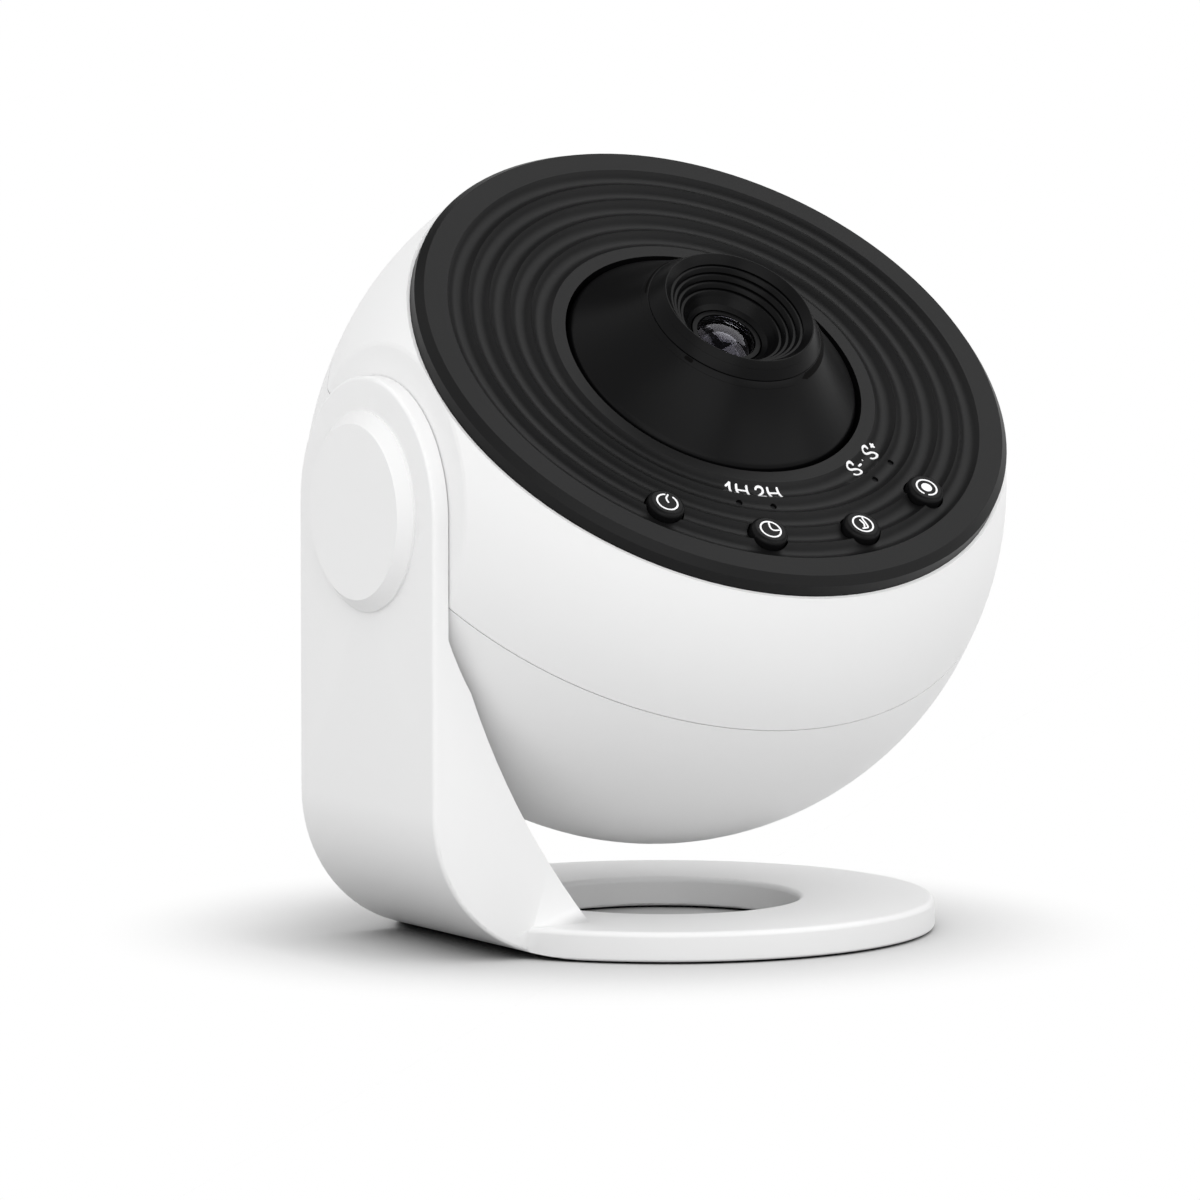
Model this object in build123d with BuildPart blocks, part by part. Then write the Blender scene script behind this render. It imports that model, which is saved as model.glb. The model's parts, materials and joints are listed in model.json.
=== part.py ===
from build123d import *
import os
from math import acos, cos, degrees, pi, radians, sin, sqrt, tan

os.makedirs("parts", exist_ok=True)

# Driving dimensions in millimetres. +Z is up, the floor is z = 0 and the tilt pivot is straight
# above the origin, with the arm on -X. In the head, a height is a distance from the pivot along
# the optical axis, and a radius is a distance from that axis.
tilt_angle = 39.5          # aim of the lens away from straight up, towards -Y
running_gap = 0.08         # radial play of a shaft in its bore
free_gap = 0.3             # between surfaces that move past each other
seat_gap = 0.05            # between fixed pieces that slip into each other

# Ball: a rear sphere about the pivot, a short barrel, and a front sphere cut off by the face.
ball_radius = 60.3
ball_stretch = 2.4
ball_wall = 2.2
ball_base_gap = 9.6        # between the ball and the base
facet_depth = 6.25         # flat on the ball where the arm lies against it
facet_round = 2.0
seam_height = 3.1          # seam between the two shells
seam_gap = 0.24
tongue_height = 1.5
tongue_thickness = 1.0
face_edge_height = 28.5
face_lip = 0.56            # white lip of the shell round the black face
ledge_thickness = 2.0
flange_thickness = 2.0
post_radius = 3.2
post_count = 4
post_inset = 4.4           # from the shell's ledge to the circle of the posts

# Face plate: border, five coves with sharp crests, flat ring round the lens cover.
face_wall = 2.3
face_chamfer = 1.3
face_underside = 29.2
border_inner_radius = 48.25
cove_count = 5
cove_pitch = 3.78
cove_depth = 0.75
inner_ring_drop = 0.6
well_gap = 0.75            # dark gap round the foot of the lens cover
well_wall = 1.5
well_ledge_thickness = 1.2
well_ledge_overhang = 1.1  # bore of the well's floor beyond the film disc
skirt_depth = 2.1
skirt_thickness = 1.8
hook_count = 6
hook_arc = 12              # degrees
hook_thickness = 1.2
hook_barb = 1.0
hook_tip = 1.4
mouth_margin = 0.4
plate_joint = 0.3          # how far a rib or hook runs into the plate

# Push buttons on a circle round the lens, each with a tactile switch behind it.
button_names = ("power", "timer", "motion", "light")
button_ring_radius = 42.6
button_spacing = 24.9      # degrees
button_radius = 3.3
button_top_height = 32.9
button_edge = 0.8
button_flange_radius = 4.4
button_flange_thickness = 0.9
button_travel = 0.6
button_stem_radius = 1.2
button_stem_length = 0.5
switch_size = 4.5
switch_body_height = 1.5
switch_height = 2.1
switch_plunger_radius = 0.9

# Control board under the buttons.
board_margin = 0.6
board_inner_radius = 33.0
board_upper_edge = -20.0
board_thickness = 1.4
boss_inset = 6.1           # inner boss, measured inwards from the circle of the buttons
boss_outset = 2.9
boss_wall = 1.3

# Indicator windows: a pair beside the timer button and a pair beside the light button.
indicator_ring_radius = 34.7
indicator_half_spacing = 5.2
indicator_radius = 0.6
indicator_rise = 1.3
indicator_foot = 2.2

# Lens cover (the cone) with the focus ring on top.
cover_radius = 26.1
cover_shoulder_height = 30.2
cover_shoulder_run = 0.9
cover_shoulder_rise = 1.85
cover_flare_sag = 0.28
cover_top_radius = 16.5
cover_top_height = 40.95
cover_top_thickness = 2.0
cover_wall = 1.8
bulkhead_height = 27.0
bulkhead_thickness = 1.4
ring_seam = 0.2
ring_lip_height = 43.85
ring_lip_radius = 13.0
ring_lip_flat = 0.3
ring_lip_run = 0.95        # from the bore to the foot of the rounded lip
ring_lip_drop = 0.55
ring_shoulder_run = 1.4
ring_shoulder_step = 0.15
ring_shoulder_drop = 1.05
baffle_count = 5
baffle_inset = 0.65        # first inner edge below the lip
baffle_height = 42.2
baffle_rise = 1.05
baffle_run = 0.85
funnel_inset = 0.35
funnel_end_radius = 7.0
funnel_end_height = 36.75
funnel_edge = 0.4
neck_wall = 0.2            # the neck stands this far outside the bore of the lip
neck_bottom_height = 37.0
ring_skirt_wall = 1.2
ring_skirt_bottom = 31.0
clip_depth = 0.8
clip_reach = 1.2
clip_thickness = 0.6
clip_drop = 0.8            # groove below the inside of the cover's top
clip_opening = 4.0

# Lens barrel and its optics.
barrel_bore = 5.75
barrel_wall = 1.17
barrel_thread_depth = 0.98
barrel_thread_height = 31.9
barrel_nose_radius = 6.2
barrel_nose_height = 36.2
barrel_shoulder_height = 35.1
barrel_bottom_height = 24.6
barrel_lip_radius = 5.1
barrel_lip_thickness = 0.85
barrel_key_depth = 0.98
barrel_key_width = 1.6
barrel_key_rise = 0.6
barrel_key_length = 3.6
guide_wall = 2.0
guide_top_height = 30.7
guide_bottom_height = 24.2
front_lens_thickness = 2.1
rear_lens_thickness = 1.8
lens_dome_radius = 4.9
lens_dome_height = 36.6
rear_dome_inset = 0.2
rear_dome_rise = 1.2
lens_spacer_wall = 0.7
lens_retainer_wall = 1.0
lens_retainer_height = 1.4
lens_retainer_inset = 0.2

# Film disc, its carrier gear and the motor.
gear_module = 0.8
pressure_angle = 20        # degrees
carrier_teeth = 60
pinion_teeth = 12
tooth_play = 0.3
tooth_root_overlap = 0.4
carrier_hub_height = 2.0
carrier_hub_wall = 4.42
carrier_gear_height = 18.6
carrier_gear_thickness = 2.0
carrier_rim_rise = 1.1
film_radius = 21.5
film_thickness = 0.4
film_border = 2.0
film_rim_height = 1.0
motor_radius = 10.0
motor_length = 11.0
motor_edge = 1.0
motor_boss_radius = 3.5
motor_shaft_radius = 1.45
motor_shaft_reach = 4.5
motor_shaft_depth = 5.5
motor_bore_depth = 6.0
motor_screw_spacing = 14.0
pinion_hub_radius = 3.4
pinion_hub_height = 1.4
pinion_margin = 0.4        # how much wider the pinion is than the gear, on each side

# Chassis and light engine.
chassis_margin = 3.55      # between the face plate's rim and the chassis's
chassis_height = 14.5      # underside of the plate
chassis_thickness = 2.0
chassis_tube_radius = 17.0
chassis_tube_bore = 15.2
chassis_tube_top = 20.2
chassis_tube_bottom = -9.0
chassis_foot_thickness = 2.5
chassis_rib_drop = 8.0
chassis_rib_thickness = 1.8
ledge_width = 1.8
cable_slot_points = [(20, 38), (0, -40)]
cable_slot_length = 12.0
cable_slot_width = 4.0
condenser_gap = 0.1
condenser_seat_height = 3.0
condenser_rim = 1.6
condenser_rim_width = 1.5
condenser_rise = 4.4
condenser_clip_thickness = 0.8
condenser_clip_opening = 3.0
lamp_bore = 13.6
heat_sink_radius = 21.0
heat_sink_base = 3.0
heat_sink_screw_radius = 18.5
heat_sink_screw_angles = (20, 160, 200, 340)
fin_length = 15.0
fin_count = 7
fin_pitch = 4.0
fin_thickness = 1.4
led_board_radius = 10.0
led_board_thickness = 1.4
led_size = 5.0
led_base_thickness = 0.8
led_dome_radius = 2.0

# Screws. A pilot hole has the screw's radius, the shank is thinner and a through hole wider.
screw_radius = 1.2
screw_head_radius = 2.1
screw_head_height = 1.3
small_screw_radius = 0.9
small_screw_head_radius = 1.75
small_screw_head_height = 1.1
through_gap = 0.1
pilot_spare = 0.6          # pilot hole beyond the screw's tip
chassis_screw_length = 10.0
board_screw_length = 4.5
sink_screw_length = 5.2
motor_screw_length = 5.5

# Stand: a flat strip arm that runs into a round base with a through hole.
thrust_washer_thickness = 0.2
thrust_washer_radius = 12.0
arm_thickness = 2.95
arm_half_width = 23.0
arm_bend_radius = 25.2
arm_inner_arc = 138.0
arm_inner_start_drop = 14.9
arm_foot_x = -26.6
arm_foot_overlap = 3.0
arm_edge_round = 0.7
swing_gap = 1.95           # hollow in the arm that the turning ball passes through
base_centre_x = 2.3
base_radius = 47.1
base_top_height = 5.5
base_hole_radius = 23.5
base_edge_round = 1.0
foot_height = 0.4          # how far the foot ring stands below the base
foot_recess = 0.8
foot_inner_radius = 36.0
foot_outer_radius = 42.0

# Pivot.
hub_radius = 7.5
hub_bore_radius = 2.9
hub_flange_radius = 12.0
hub_flange_thickness = 3.0
retainer_radius = 11.8
retainer_thickness = 0.8
wave_washer_thickness = 0.5
wave_washer_inset = 1.0
pivot_screw_circle = 5.2
pivot_screw_count = 3
pivot_screw_radius = 0.8
pivot_screw_head_radius = 1.5
pivot_screw_head_height = 0.7
pivot_screw_length = 4.5
pivot_recess_radius = 13.2
pivot_recess_depth = 1.6
cap_radius = 17.1
cap_top_radius = 15.0
cap_height = 2.4
cap_rim_height = 0.5
cap_wall = 1.2
cap_skirt_wall = 1.0
cap_skirt_gap = 0.4

# Power inlet at the back of the ball, aimed along +Y.
inlet_recess = 2.9         # of the socket's mouth below the ball's surface
inlet_width = 9.0
inlet_height = 3.3
inlet_depth = 9.0
inlet_bottom = 1.5
inlet_tongue_inset = 1.3
inlet_tongue_thickness = 0.7
inlet_tongue_setback = 0.8
inlet_pocket_width = 12.4
inlet_pocket_height = 6.8
inlet_pocket_round = 2.0
inlet_block_wall = 1.5
inlet_block_depth = 4.0
inlet_wall = 0.35
power_board_length = 15.4
power_board_thickness = 1.2
power_board_screw_x = 5.0
power_board_screw_y = 3.0
power_shelf = 2.4

# Frames
pivot_height = base_top_height + ball_base_gap + ball_radius
facet_distance = ball_radius - facet_depth
tilt = radians(tilt_angle)
pivot = Vector(0, 0, pivot_height)
aim = Vector(0, -sin(tilt), cos(tilt))
optical_axis = Axis(pivot, aim)
face_frame = Plane(origin=pivot, x_dir=(1, 0, 0), z_dir=aim)
# Half section of the head: sketch x is the radius, sketch y the distance along the optical axis.
section = Plane(origin=pivot, x_dir=(1, 0, 0), z_dir=(0, -aim.Z, aim.Y))
keep_side = Plane(origin=(-facet_distance, 0, 0), x_dir=(0, 1, 0), z_dir=(1, 0, 0))


def across(height):
    """Plane square to the optical axis, this far ahead of the pivot."""
    return face_frame.offset(height)


def beside(distance):
    """Plane square to the pivot axis on the arm's side, facing outwards along -X."""
    return Plane(origin=(-distance, 0, pivot_height), x_dir=(0, 1, 0), z_dir=(-1, 0, 0))


def polar(radius, angle):
    """Point on a circle round the optical axis, in the face frame."""
    return (radius * cos(radians(angle)), radius * sin(radians(angle)))


def sphere_radius_at(radius, centre_height, height):
    """Radius of the cut through a sphere at a height on the optical axis."""
    return sqrt(radius**2 - (height - centre_height) ** 2)


def cap_sphere(radius, rise):
    """Radius of the sphere whose cap has this rim radius and this rise."""
    return (radius**2 + rise**2) / (2 * rise)


def finish(builder, name, colour):
    """Label, colour and write one sub-part."""
    builder.part.label = name
    builder.part.color = Color(*colour)
    export_step(builder.part, f"parts/{name}.step")


def screws(name, plane, points, pilot_radius, head, length, side=1):
    """Like screws on a plane: heads on the side given (1 or -1), shanks on the other."""
    head_radius, head_height = head
    with BuildPart() as group:
        with BuildSketch(plane):
            with Locations(*points):
                Circle(head_radius)
        extrude(amount=side * head_height)
        with BuildSketch(plane):
            with Locations(*points):
                Circle(pilot_radius - seat_gap)
        extrude(amount=-side * length)
    finish(group, name, steel)


white = (0.90, 0.90, 0.90)
black = (0.10, 0.10, 0.11)
steel = (0.62, 0.63, 0.65)
brass = (0.78, 0.62, 0.32)
green = (0.10, 0.35, 0.20)
glass = (0.75, 0.82, 0.90)
grey = (0.45, 0.45, 0.47)

# Sizes that follow from the driving ones
arm_inner = facet_distance + thrust_washer_thickness
arm_outer = arm_inner + arm_thickness
swing_radius = ball_radius + swing_gap
facet_inner = facet_distance - ball_wall
inner_radius = ball_radius - ball_wall
hub_inner = facet_inner - hub_flange_thickness
hub_end = arm_outer - pivot_recess_depth + wave_washer_thickness
hub_length = hub_end - hub_inner

front_rim = sphere_radius_at(ball_radius, ball_stretch, face_edge_height)
pocket_radius = front_rim - face_lip
face_radius = pocket_radius - seat_gap
border_height = face_edge_height + face_wall + face_chamfer
inner_ring_height = border_height - inner_ring_drop
cove_inner_radius = border_inner_radius - cove_count * cove_pitch
plate_seat_height = face_edge_height - skirt_depth
flange_bottom = plate_seat_height - flange_thickness

chassis_radius = face_radius - chassis_margin
chassis_top = chassis_height + chassis_thickness
mouth_radius = chassis_radius + mouth_margin
ledge_inner_radius = chassis_radius - ledge_width
post_ring_radius = ledge_inner_radius - post_inset
post_points = [polar(post_ring_radius, 45 + i * 360 / post_count) for i in range(post_count)]
sink_points = [polar(heat_sink_screw_radius, angle) for angle in heat_sink_screw_angles]
hook_outer = mouth_radius - mouth_margin / 2
hook_inner = hook_outer - hook_thickness

button_angles = [-90 + button_spacing * (i - 1.5) for i in range(4)]
button_points = [polar(button_ring_radius, angle) for angle in button_angles]
button_flange_top = face_underside - 2 * seat_gap
stem_bottom = button_flange_top - button_flange_thickness - button_stem_length
indicator_points = [
    polar(indicator_ring_radius, button_angles[i] + side * indicator_half_spacing)
    for i in (1, 3)
    for side in (-1, 1)
]
board_outer_radius = hook_inner - board_margin
board_top = stem_bottom - button_travel - seat_gap - switch_height
board_boss_points = [
    polar(button_ring_radius - boss_inset, -90),
    polar(button_ring_radius + boss_outset, -90 - button_spacing),
    polar(button_ring_radius + boss_outset, -90 + button_spacing),
]

carrier_gear_top = carrier_gear_height + carrier_gear_thickness
carrier_bottom_height = carrier_gear_height - carrier_hub_height
motor_distance = gear_module * (carrier_teeth + pinion_teeth) / 2
motor_screw_points = [(side * motor_screw_spacing / 2, motor_distance) for side in (-1, 1)]
well_radius = cover_radius + well_gap
well_floor_height = carrier_gear_top + carrier_rim_rise + free_gap
well_ledge_radius = film_radius + well_ledge_overhang

barrel_radius = barrel_bore + barrel_wall
barrel_thread_radius = barrel_radius + barrel_thread_depth
barrel_key_radius = barrel_radius + barrel_key_depth
guide_bore = barrel_radius + running_gap
guide_radius = guide_bore + guide_wall
lens_radius = barrel_bore - seat_gap
cover_bore = cover_radius - cover_wall
cover_foot = well_floor_height + well_ledge_thickness
cover_inner_top = cover_top_height - cover_top_thickness
neck_radius = ring_lip_radius + neck_wall
groove_top = cover_inner_top - clip_drop
clip_groove_radius = neck_radius - clip_depth
clip_radius = neck_radius + clip_reach

inlet_face_distance = ball_radius - inlet_recess
inlet_block_start = inlet_face_distance - inlet_block_depth
power_board_start = inlet_block_start - power_board_length
power_board_top = -inlet_height / 2 - seat_gap
power_screw_points = [
    (side * power_board_screw_x, power_board_start + power_board_screw_y) for side in (-1, 1)
]
power_screw_length = power_board_thickness + power_shelf / 2

# Stand
with BuildPart() as base_disc:
    with BuildSketch(Plane.XY.offset(foot_height)):
        with Locations((base_centre_x, 0)):
            Circle(base_radius)
            Circle(base_hole_radius, mode=Mode.SUBTRACT)
    extrude(amount=base_top_height - foot_height)
    fillet(base_disc.edges().group_by(Axis.Z)[-1], base_edge_round)
    fillet(base_disc.edges().group_by(Axis.Z)[0], base_edge_round / 2)

with BuildPart() as swing_hollow:
    with Locations((0, 0, pivot_height)):
        Sphere(swing_radius)
    split(bisect_by=Plane(origin=(-arm_inner, 0, 0), x_dir=(0, 1, 0), z_dir=(1, 0, 0)))

with BuildPart() as stand:
    # side profile of the strip: outer round into the floor, inner curve that follows the ball
    with BuildSketch(Plane.XZ):
        with BuildLine():
            outer_top = (-arm_outer, pivot_height + arm_half_width)
            bend_start = (-arm_outer, foot_height + arm_bend_radius)
            outer_line = Line(outer_top, bend_start)
            bend = TangentArc(
                bend_start, (-arm_outer + arm_bend_radius, foot_height), tangent=outer_line % 1
            )
            foot_end = arm_foot_x + arm_foot_overlap
            inner_start = (-arm_inner, pivot_height - arm_inner_start_drop)
            Polyline(
                bend @ 1, (foot_end, foot_height), (foot_end, base_top_height), (arm_foot_x, base_top_height)
            )
            RadiusArc((arm_foot_x, base_top_height), inner_start, arm_inner_arc)
            Polyline(inner_start, (-arm_inner, pivot_height + arm_half_width), outer_top)
        make_face()
    extrude(amount=arm_half_width, both=True)
    # full-round top about the pivot
    with BuildSketch(Plane.YZ):
        with Locations((0, pivot_height)):
            Circle(arm_half_width)
        with Locations((0, pivot_height / 2)):
            Rectangle(2 * arm_half_width, pivot_height)
    extrude(amount=2 * arm_outer, both=True, mode=Mode.INTERSECT)
    outer_face = stand.faces().filter_by(GeomType.PLANE).sort_by(Axis.X)[0]
    fillet(outer_face.edges().filter_by(Axis.Y, reverse=True), arm_edge_round)
    add(base_disc.part)
    add(swing_hollow.part, mode=Mode.SUBTRACT)
    with BuildSketch(beside(arm_inner)):
        Circle(hub_radius + running_gap)
    extrude(amount=arm_thickness, mode=Mode.SUBTRACT)
    with BuildSketch(beside(arm_outer)):
        Circle(pivot_recess_radius)
    extrude(amount=-pivot_recess_depth, mode=Mode.SUBTRACT)
    with BuildSketch(Plane.XY.offset(foot_height)):
        with Locations((base_centre_x, 0)):
            Circle(foot_outer_radius)
            Circle(foot_inner_radius, mode=Mode.SUBTRACT)
    extrude(amount=foot_recess, mode=Mode.SUBTRACT)
finish(stand, "stand", white)

with BuildPart() as foot_ring:
    with BuildSketch():
        with Locations((base_centre_x, 0)):
            Circle(foot_outer_radius - seat_gap)
            Circle(foot_inner_radius + seat_gap, mode=Mode.SUBTRACT)
    extrude(amount=foot_height + foot_recess)
finish(foot_ring, "foot_ring", grey)

# Pivot
with BuildPart() as pivot_hub:
    with BuildSketch(beside(hub_inner)):
        Circle(hub_flange_radius)
    extrude(amount=hub_flange_thickness)
    with BuildSketch(beside(hub_inner)):
        Circle(hub_radius)
    extrude(amount=hub_length)
    with BuildSketch(beside(hub_inner)):
        Circle(hub_bore_radius)
    extrude(amount=hub_length, mode=Mode.SUBTRACT)
    with BuildSketch(beside(hub_end)):
        with PolarLocations(pivot_screw_circle, pivot_screw_count):
            Circle(pivot_screw_radius)
    extrude(amount=-pivot_screw_length, mode=Mode.SUBTRACT)
finish(pivot_hub, "pivot_hub", grey)

with BuildPart() as thrust_washer:
    with BuildSketch(beside(facet_distance)):
        Circle(thrust_washer_radius)
        Circle(hub_radius + free_gap, mode=Mode.SUBTRACT)
    extrude(amount=thrust_washer_thickness)
finish(thrust_washer, "thrust_washer", grey)

with BuildPart() as wave_washer:
    with BuildSketch(beside(arm_outer - pivot_recess_depth)):
        Circle(retainer_radius - wave_washer_inset)
        Circle(hub_radius + free_gap, mode=Mode.SUBTRACT)
    extrude(amount=wave_washer_thickness)
finish(wave_washer, "wave_washer", steel)

with BuildPart() as retainer_plate:
    with BuildSketch(beside(hub_end)):
        Circle(retainer_radius)
    extrude(amount=retainer_thickness)
    with Locations(beside(hub_end + retainer_thickness)):
        with PolarLocations(pivot_screw_circle, pivot_screw_count):
            CounterSinkHole(
                pivot_screw_radius + through_gap,
                pivot_screw_head_radius + through_gap,
                counter_sink_angle=90,
            )
finish(retainer_plate, "retainer_plate", steel)

with BuildPart() as pivot_screws:
    with BuildSketch(beside(hub_end + retainer_thickness)):
        with PolarLocations(pivot_screw_circle, pivot_screw_count):
            Circle(pivot_screw_head_radius)
    extrude(amount=-pivot_screw_head_height, taper=45)
    with BuildSketch(beside(hub_end + retainer_thickness)):
        with PolarLocations(pivot_screw_circle, pivot_screw_count):
            Circle(pivot_screw_radius - seat_gap)
    extrude(amount=-pivot_screw_length)
finish(pivot_screws, "pivot_screws", steel)

with BuildPart() as arm_cap:
    with BuildSketch(Plane(origin=pivot, x_dir=(-1, 0, 0), z_dir=(0, -1, 0))):
        with BuildLine():
            Polyline(
                (arm_outer, 0),
                (arm_outer + cap_height, 0),
                (arm_outer + cap_height, cap_top_radius),
                (arm_outer + cap_rim_height, cap_radius),
                (arm_outer, cap_radius),
                (arm_outer, 0),
            )
        make_face()
    revolve(axis=Axis(pivot, (1, 0, 0)))
    # hollow over the pivot, and the skirt that plugs into the arm's recess
    with BuildSketch(beside(arm_outer)):
        Circle(pivot_recess_radius - cap_skirt_wall)
    extrude(amount=cap_height - cap_wall, mode=Mode.SUBTRACT)
    with BuildSketch(beside(arm_outer)):
        Circle(pivot_recess_radius - seat_gap)
        Circle(pivot_recess_radius - cap_skirt_wall, mode=Mode.SUBTRACT)
    extrude(amount=cap_skirt_gap - pivot_recess_depth)
finish(arm_cap, "arm_cap", white)

# Ball shells
with BuildPart() as ball_body:
    with BuildSketch(section):
        with BuildLine():
            CenterArc((0, 0), ball_radius, -90, 90)
            Line((ball_radius, 0), (ball_radius, ball_stretch))
            front_mid = (face_edge_height - ball_stretch) / 2
            ThreePointArc(
                (ball_radius, ball_stretch),
                (sphere_radius_at(ball_radius, 0, front_mid), ball_stretch + front_mid),
                (front_rim, face_edge_height),
            )
            Polyline((front_rim, face_edge_height), (0, face_edge_height), (0, -ball_radius))
        make_face()
    revolve(axis=optical_axis)
    split(bisect_by=keep_side)
    facet_face = ball_body.faces().filter_by(GeomType.PLANE).sort_by(Axis.X)[0]
    fillet(facet_face.edges().filter_by(GeomType.CIRCLE), facet_round)

with BuildPart() as ball_cavity:
    with BuildSketch(section):
        with BuildLine():
            CenterArc((0, 0), inner_radius, -90, 90)
            ledge_low = chassis_height - ledge_thickness
            Line((inner_radius, 0), (inner_radius, ball_stretch))
            low_mid = (ledge_low - ball_stretch) / 2
            ThreePointArc(
                (inner_radius, ball_stretch),
                (sphere_radius_at(inner_radius, 0, low_mid), ball_stretch + low_mid),
                (sphere_radius_at(inner_radius, ball_stretch, ledge_low), ledge_low),
            )
            ledge_out = sphere_radius_at(inner_radius, ball_stretch, chassis_height)
            Polyline(
                (sphere_radius_at(inner_radius, ball_stretch, ledge_low), ledge_low),
                (ledge_inner_radius, ledge_low),
                (ledge_inner_radius, chassis_height),
                (ledge_out, chassis_height),
            )
            flange_out = sphere_radius_at(inner_radius, ball_stretch, flange_bottom)
            high_mid = (chassis_height + flange_bottom) / 2
            ThreePointArc(
                (ledge_out, chassis_height),
                (sphere_radius_at(inner_radius, ball_stretch, high_mid), high_mid),
                (flange_out, flange_bottom),
            )
            Polyline(
                (flange_out, flange_bottom),
                (mouth_radius, flange_bottom),
                (mouth_radius, plate_seat_height),
                (0, plate_seat_height),
                (0, -inner_radius),
            )
        make_face()
    revolve(axis=optical_axis)
    split(bisect_by=keep_side.offset(ball_wall))

with BuildPart() as tongue:
    # ring on the rear shell's rim that centres the front shell
    tongue_top = seam_height + tongue_height
    tongue_bottom = seam_height - ball_wall
    tongue_outer = inner_radius + tongue_thickness
    with BuildSketch(section):
        with BuildLine():
            Polyline(
                (tongue_outer - tongue_height, tongue_bottom),
                (tongue_outer, tongue_bottom),
                (tongue_outer, tongue_top),
                (tongue_outer - tongue_height, tongue_top),
                close=True,
            )
        make_face()
    revolve(axis=optical_axis)
    split(bisect_by=keep_side.offset(ball_wall + tongue_height))

with BuildPart() as front_shell:
    add(ball_body.part)
    split(bisect_by=across(seam_height + seam_gap / 2))
    add(ball_cavity.part, mode=Mode.SUBTRACT)
    # rebate for the rear shell's tongue
    with BuildSketch(section):
        with BuildLine():
            Polyline(
                (inner_radius - ball_wall, tongue_bottom),
                (tongue_outer + seat_gap, tongue_bottom),
                (tongue_outer + seat_gap, tongue_top),
                (inner_radius - ball_wall, tongue_top),
                close=True,
            )
        make_face()
    revolve(axis=optical_axis, mode=Mode.SUBTRACT)
    # pocket that the face plate sits in
    with BuildSketch(across(plate_seat_height)):
        Circle(pocket_radius)
    extrude(amount=border_height - plate_seat_height, mode=Mode.SUBTRACT)
    with BuildSketch(beside(facet_inner)):
        Circle(hub_radius + seat_gap)
    extrude(amount=ball_wall, mode=Mode.SUBTRACT)
finish(front_shell, "front_shell", white)

with BuildPart() as shell_posts:
    # posts that the chassis screws pull on
    with BuildSketch(across(chassis_height - free_gap)):
        with Locations(*post_points):
            Circle(post_radius)
    extrude(amount=-ball_radius)
    add(ball_body.part, mode=Mode.INTERSECT)

inlet_frame = Plane(origin=(0, 0, pivot_height), x_dir=(-1, 0, 0), z_dir=(0, 1, 0))
with BuildPart() as inlet_block:
    # block behind the power inlet and the shelf under its board
    block_width = inlet_pocket_width + 2 * inlet_block_wall
    with BuildSketch(inlet_frame.offset(inlet_block_start)):
        Rectangle(block_width, inlet_pocket_height + 2 * inlet_block_wall)
    extrude(amount=ball_radius)
    with BuildSketch(inlet_frame.offset(power_board_start)):
        with Locations((0, power_board_top - power_board_thickness - power_shelf / 2)):
            Rectangle(block_width, power_shelf)
    extrude(amount=ball_radius)
    add(ball_body.part, mode=Mode.INTERSECT)

with BuildPart() as rear_shell:
    add(ball_body.part)
    split(bisect_by=across(seam_height - seam_gap / 2), keep=Keep.BOTTOM)
    add(ball_cavity.part, mode=Mode.SUBTRACT)
    add(tongue.part)
    with BuildSketch(beside(facet_inner)):
        Circle(hub_radius + seat_gap)
    extrude(amount=ball_wall, mode=Mode.SUBTRACT)
    add(shell_posts.part)
    with BuildSketch(across(chassis_top)):
        with Locations(*post_points):
            Circle(screw_radius)
    extrude(amount=-(chassis_screw_length + pilot_spare), mode=Mode.SUBTRACT)
    add(inlet_block.part)
    with BuildSketch(inlet_frame.offset(inlet_face_distance)):
        RectangleRounded(inlet_pocket_width, inlet_pocket_height, inlet_pocket_round)
    extrude(amount=ball_radius, mode=Mode.SUBTRACT)
    with BuildSketch(inlet_frame.offset(inlet_face_distance - inlet_depth)):
        SlotOverall(inlet_width + 2 * seat_gap, inlet_height + 2 * seat_gap)
    extrude(amount=ball_radius, mode=Mode.SUBTRACT)
    with BuildSketch(Plane.XY.offset(pivot_height + power_board_top)):
        with Locations(*power_screw_points):
            Circle(small_screw_radius)
    extrude(amount=-(power_screw_length + pilot_spare), mode=Mode.SUBTRACT)
finish(rear_shell, "rear_shell", white)

# Face plate
with BuildPart() as snap_hook:
    # hook that reaches through the shell's mouth and catches behind its flange
    with BuildSketch(section):
        with BuildLine():
            hook_bottom = flange_bottom - hook_tip
            Polyline(
                (hook_inner, face_underside + plate_joint),
                (hook_inner, hook_bottom),
                (mouth_radius, hook_bottom),
                (mouth_radius + hook_barb, hook_bottom + hook_barb),
                (mouth_radius + hook_barb, flange_bottom - seat_gap),
                (hook_outer, flange_bottom - seat_gap),
                (hook_outer, face_underside + plate_joint),
                close=True,
            )
        make_face()
    revolve(axis=optical_axis, revolution_arc=hook_arc)

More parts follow.
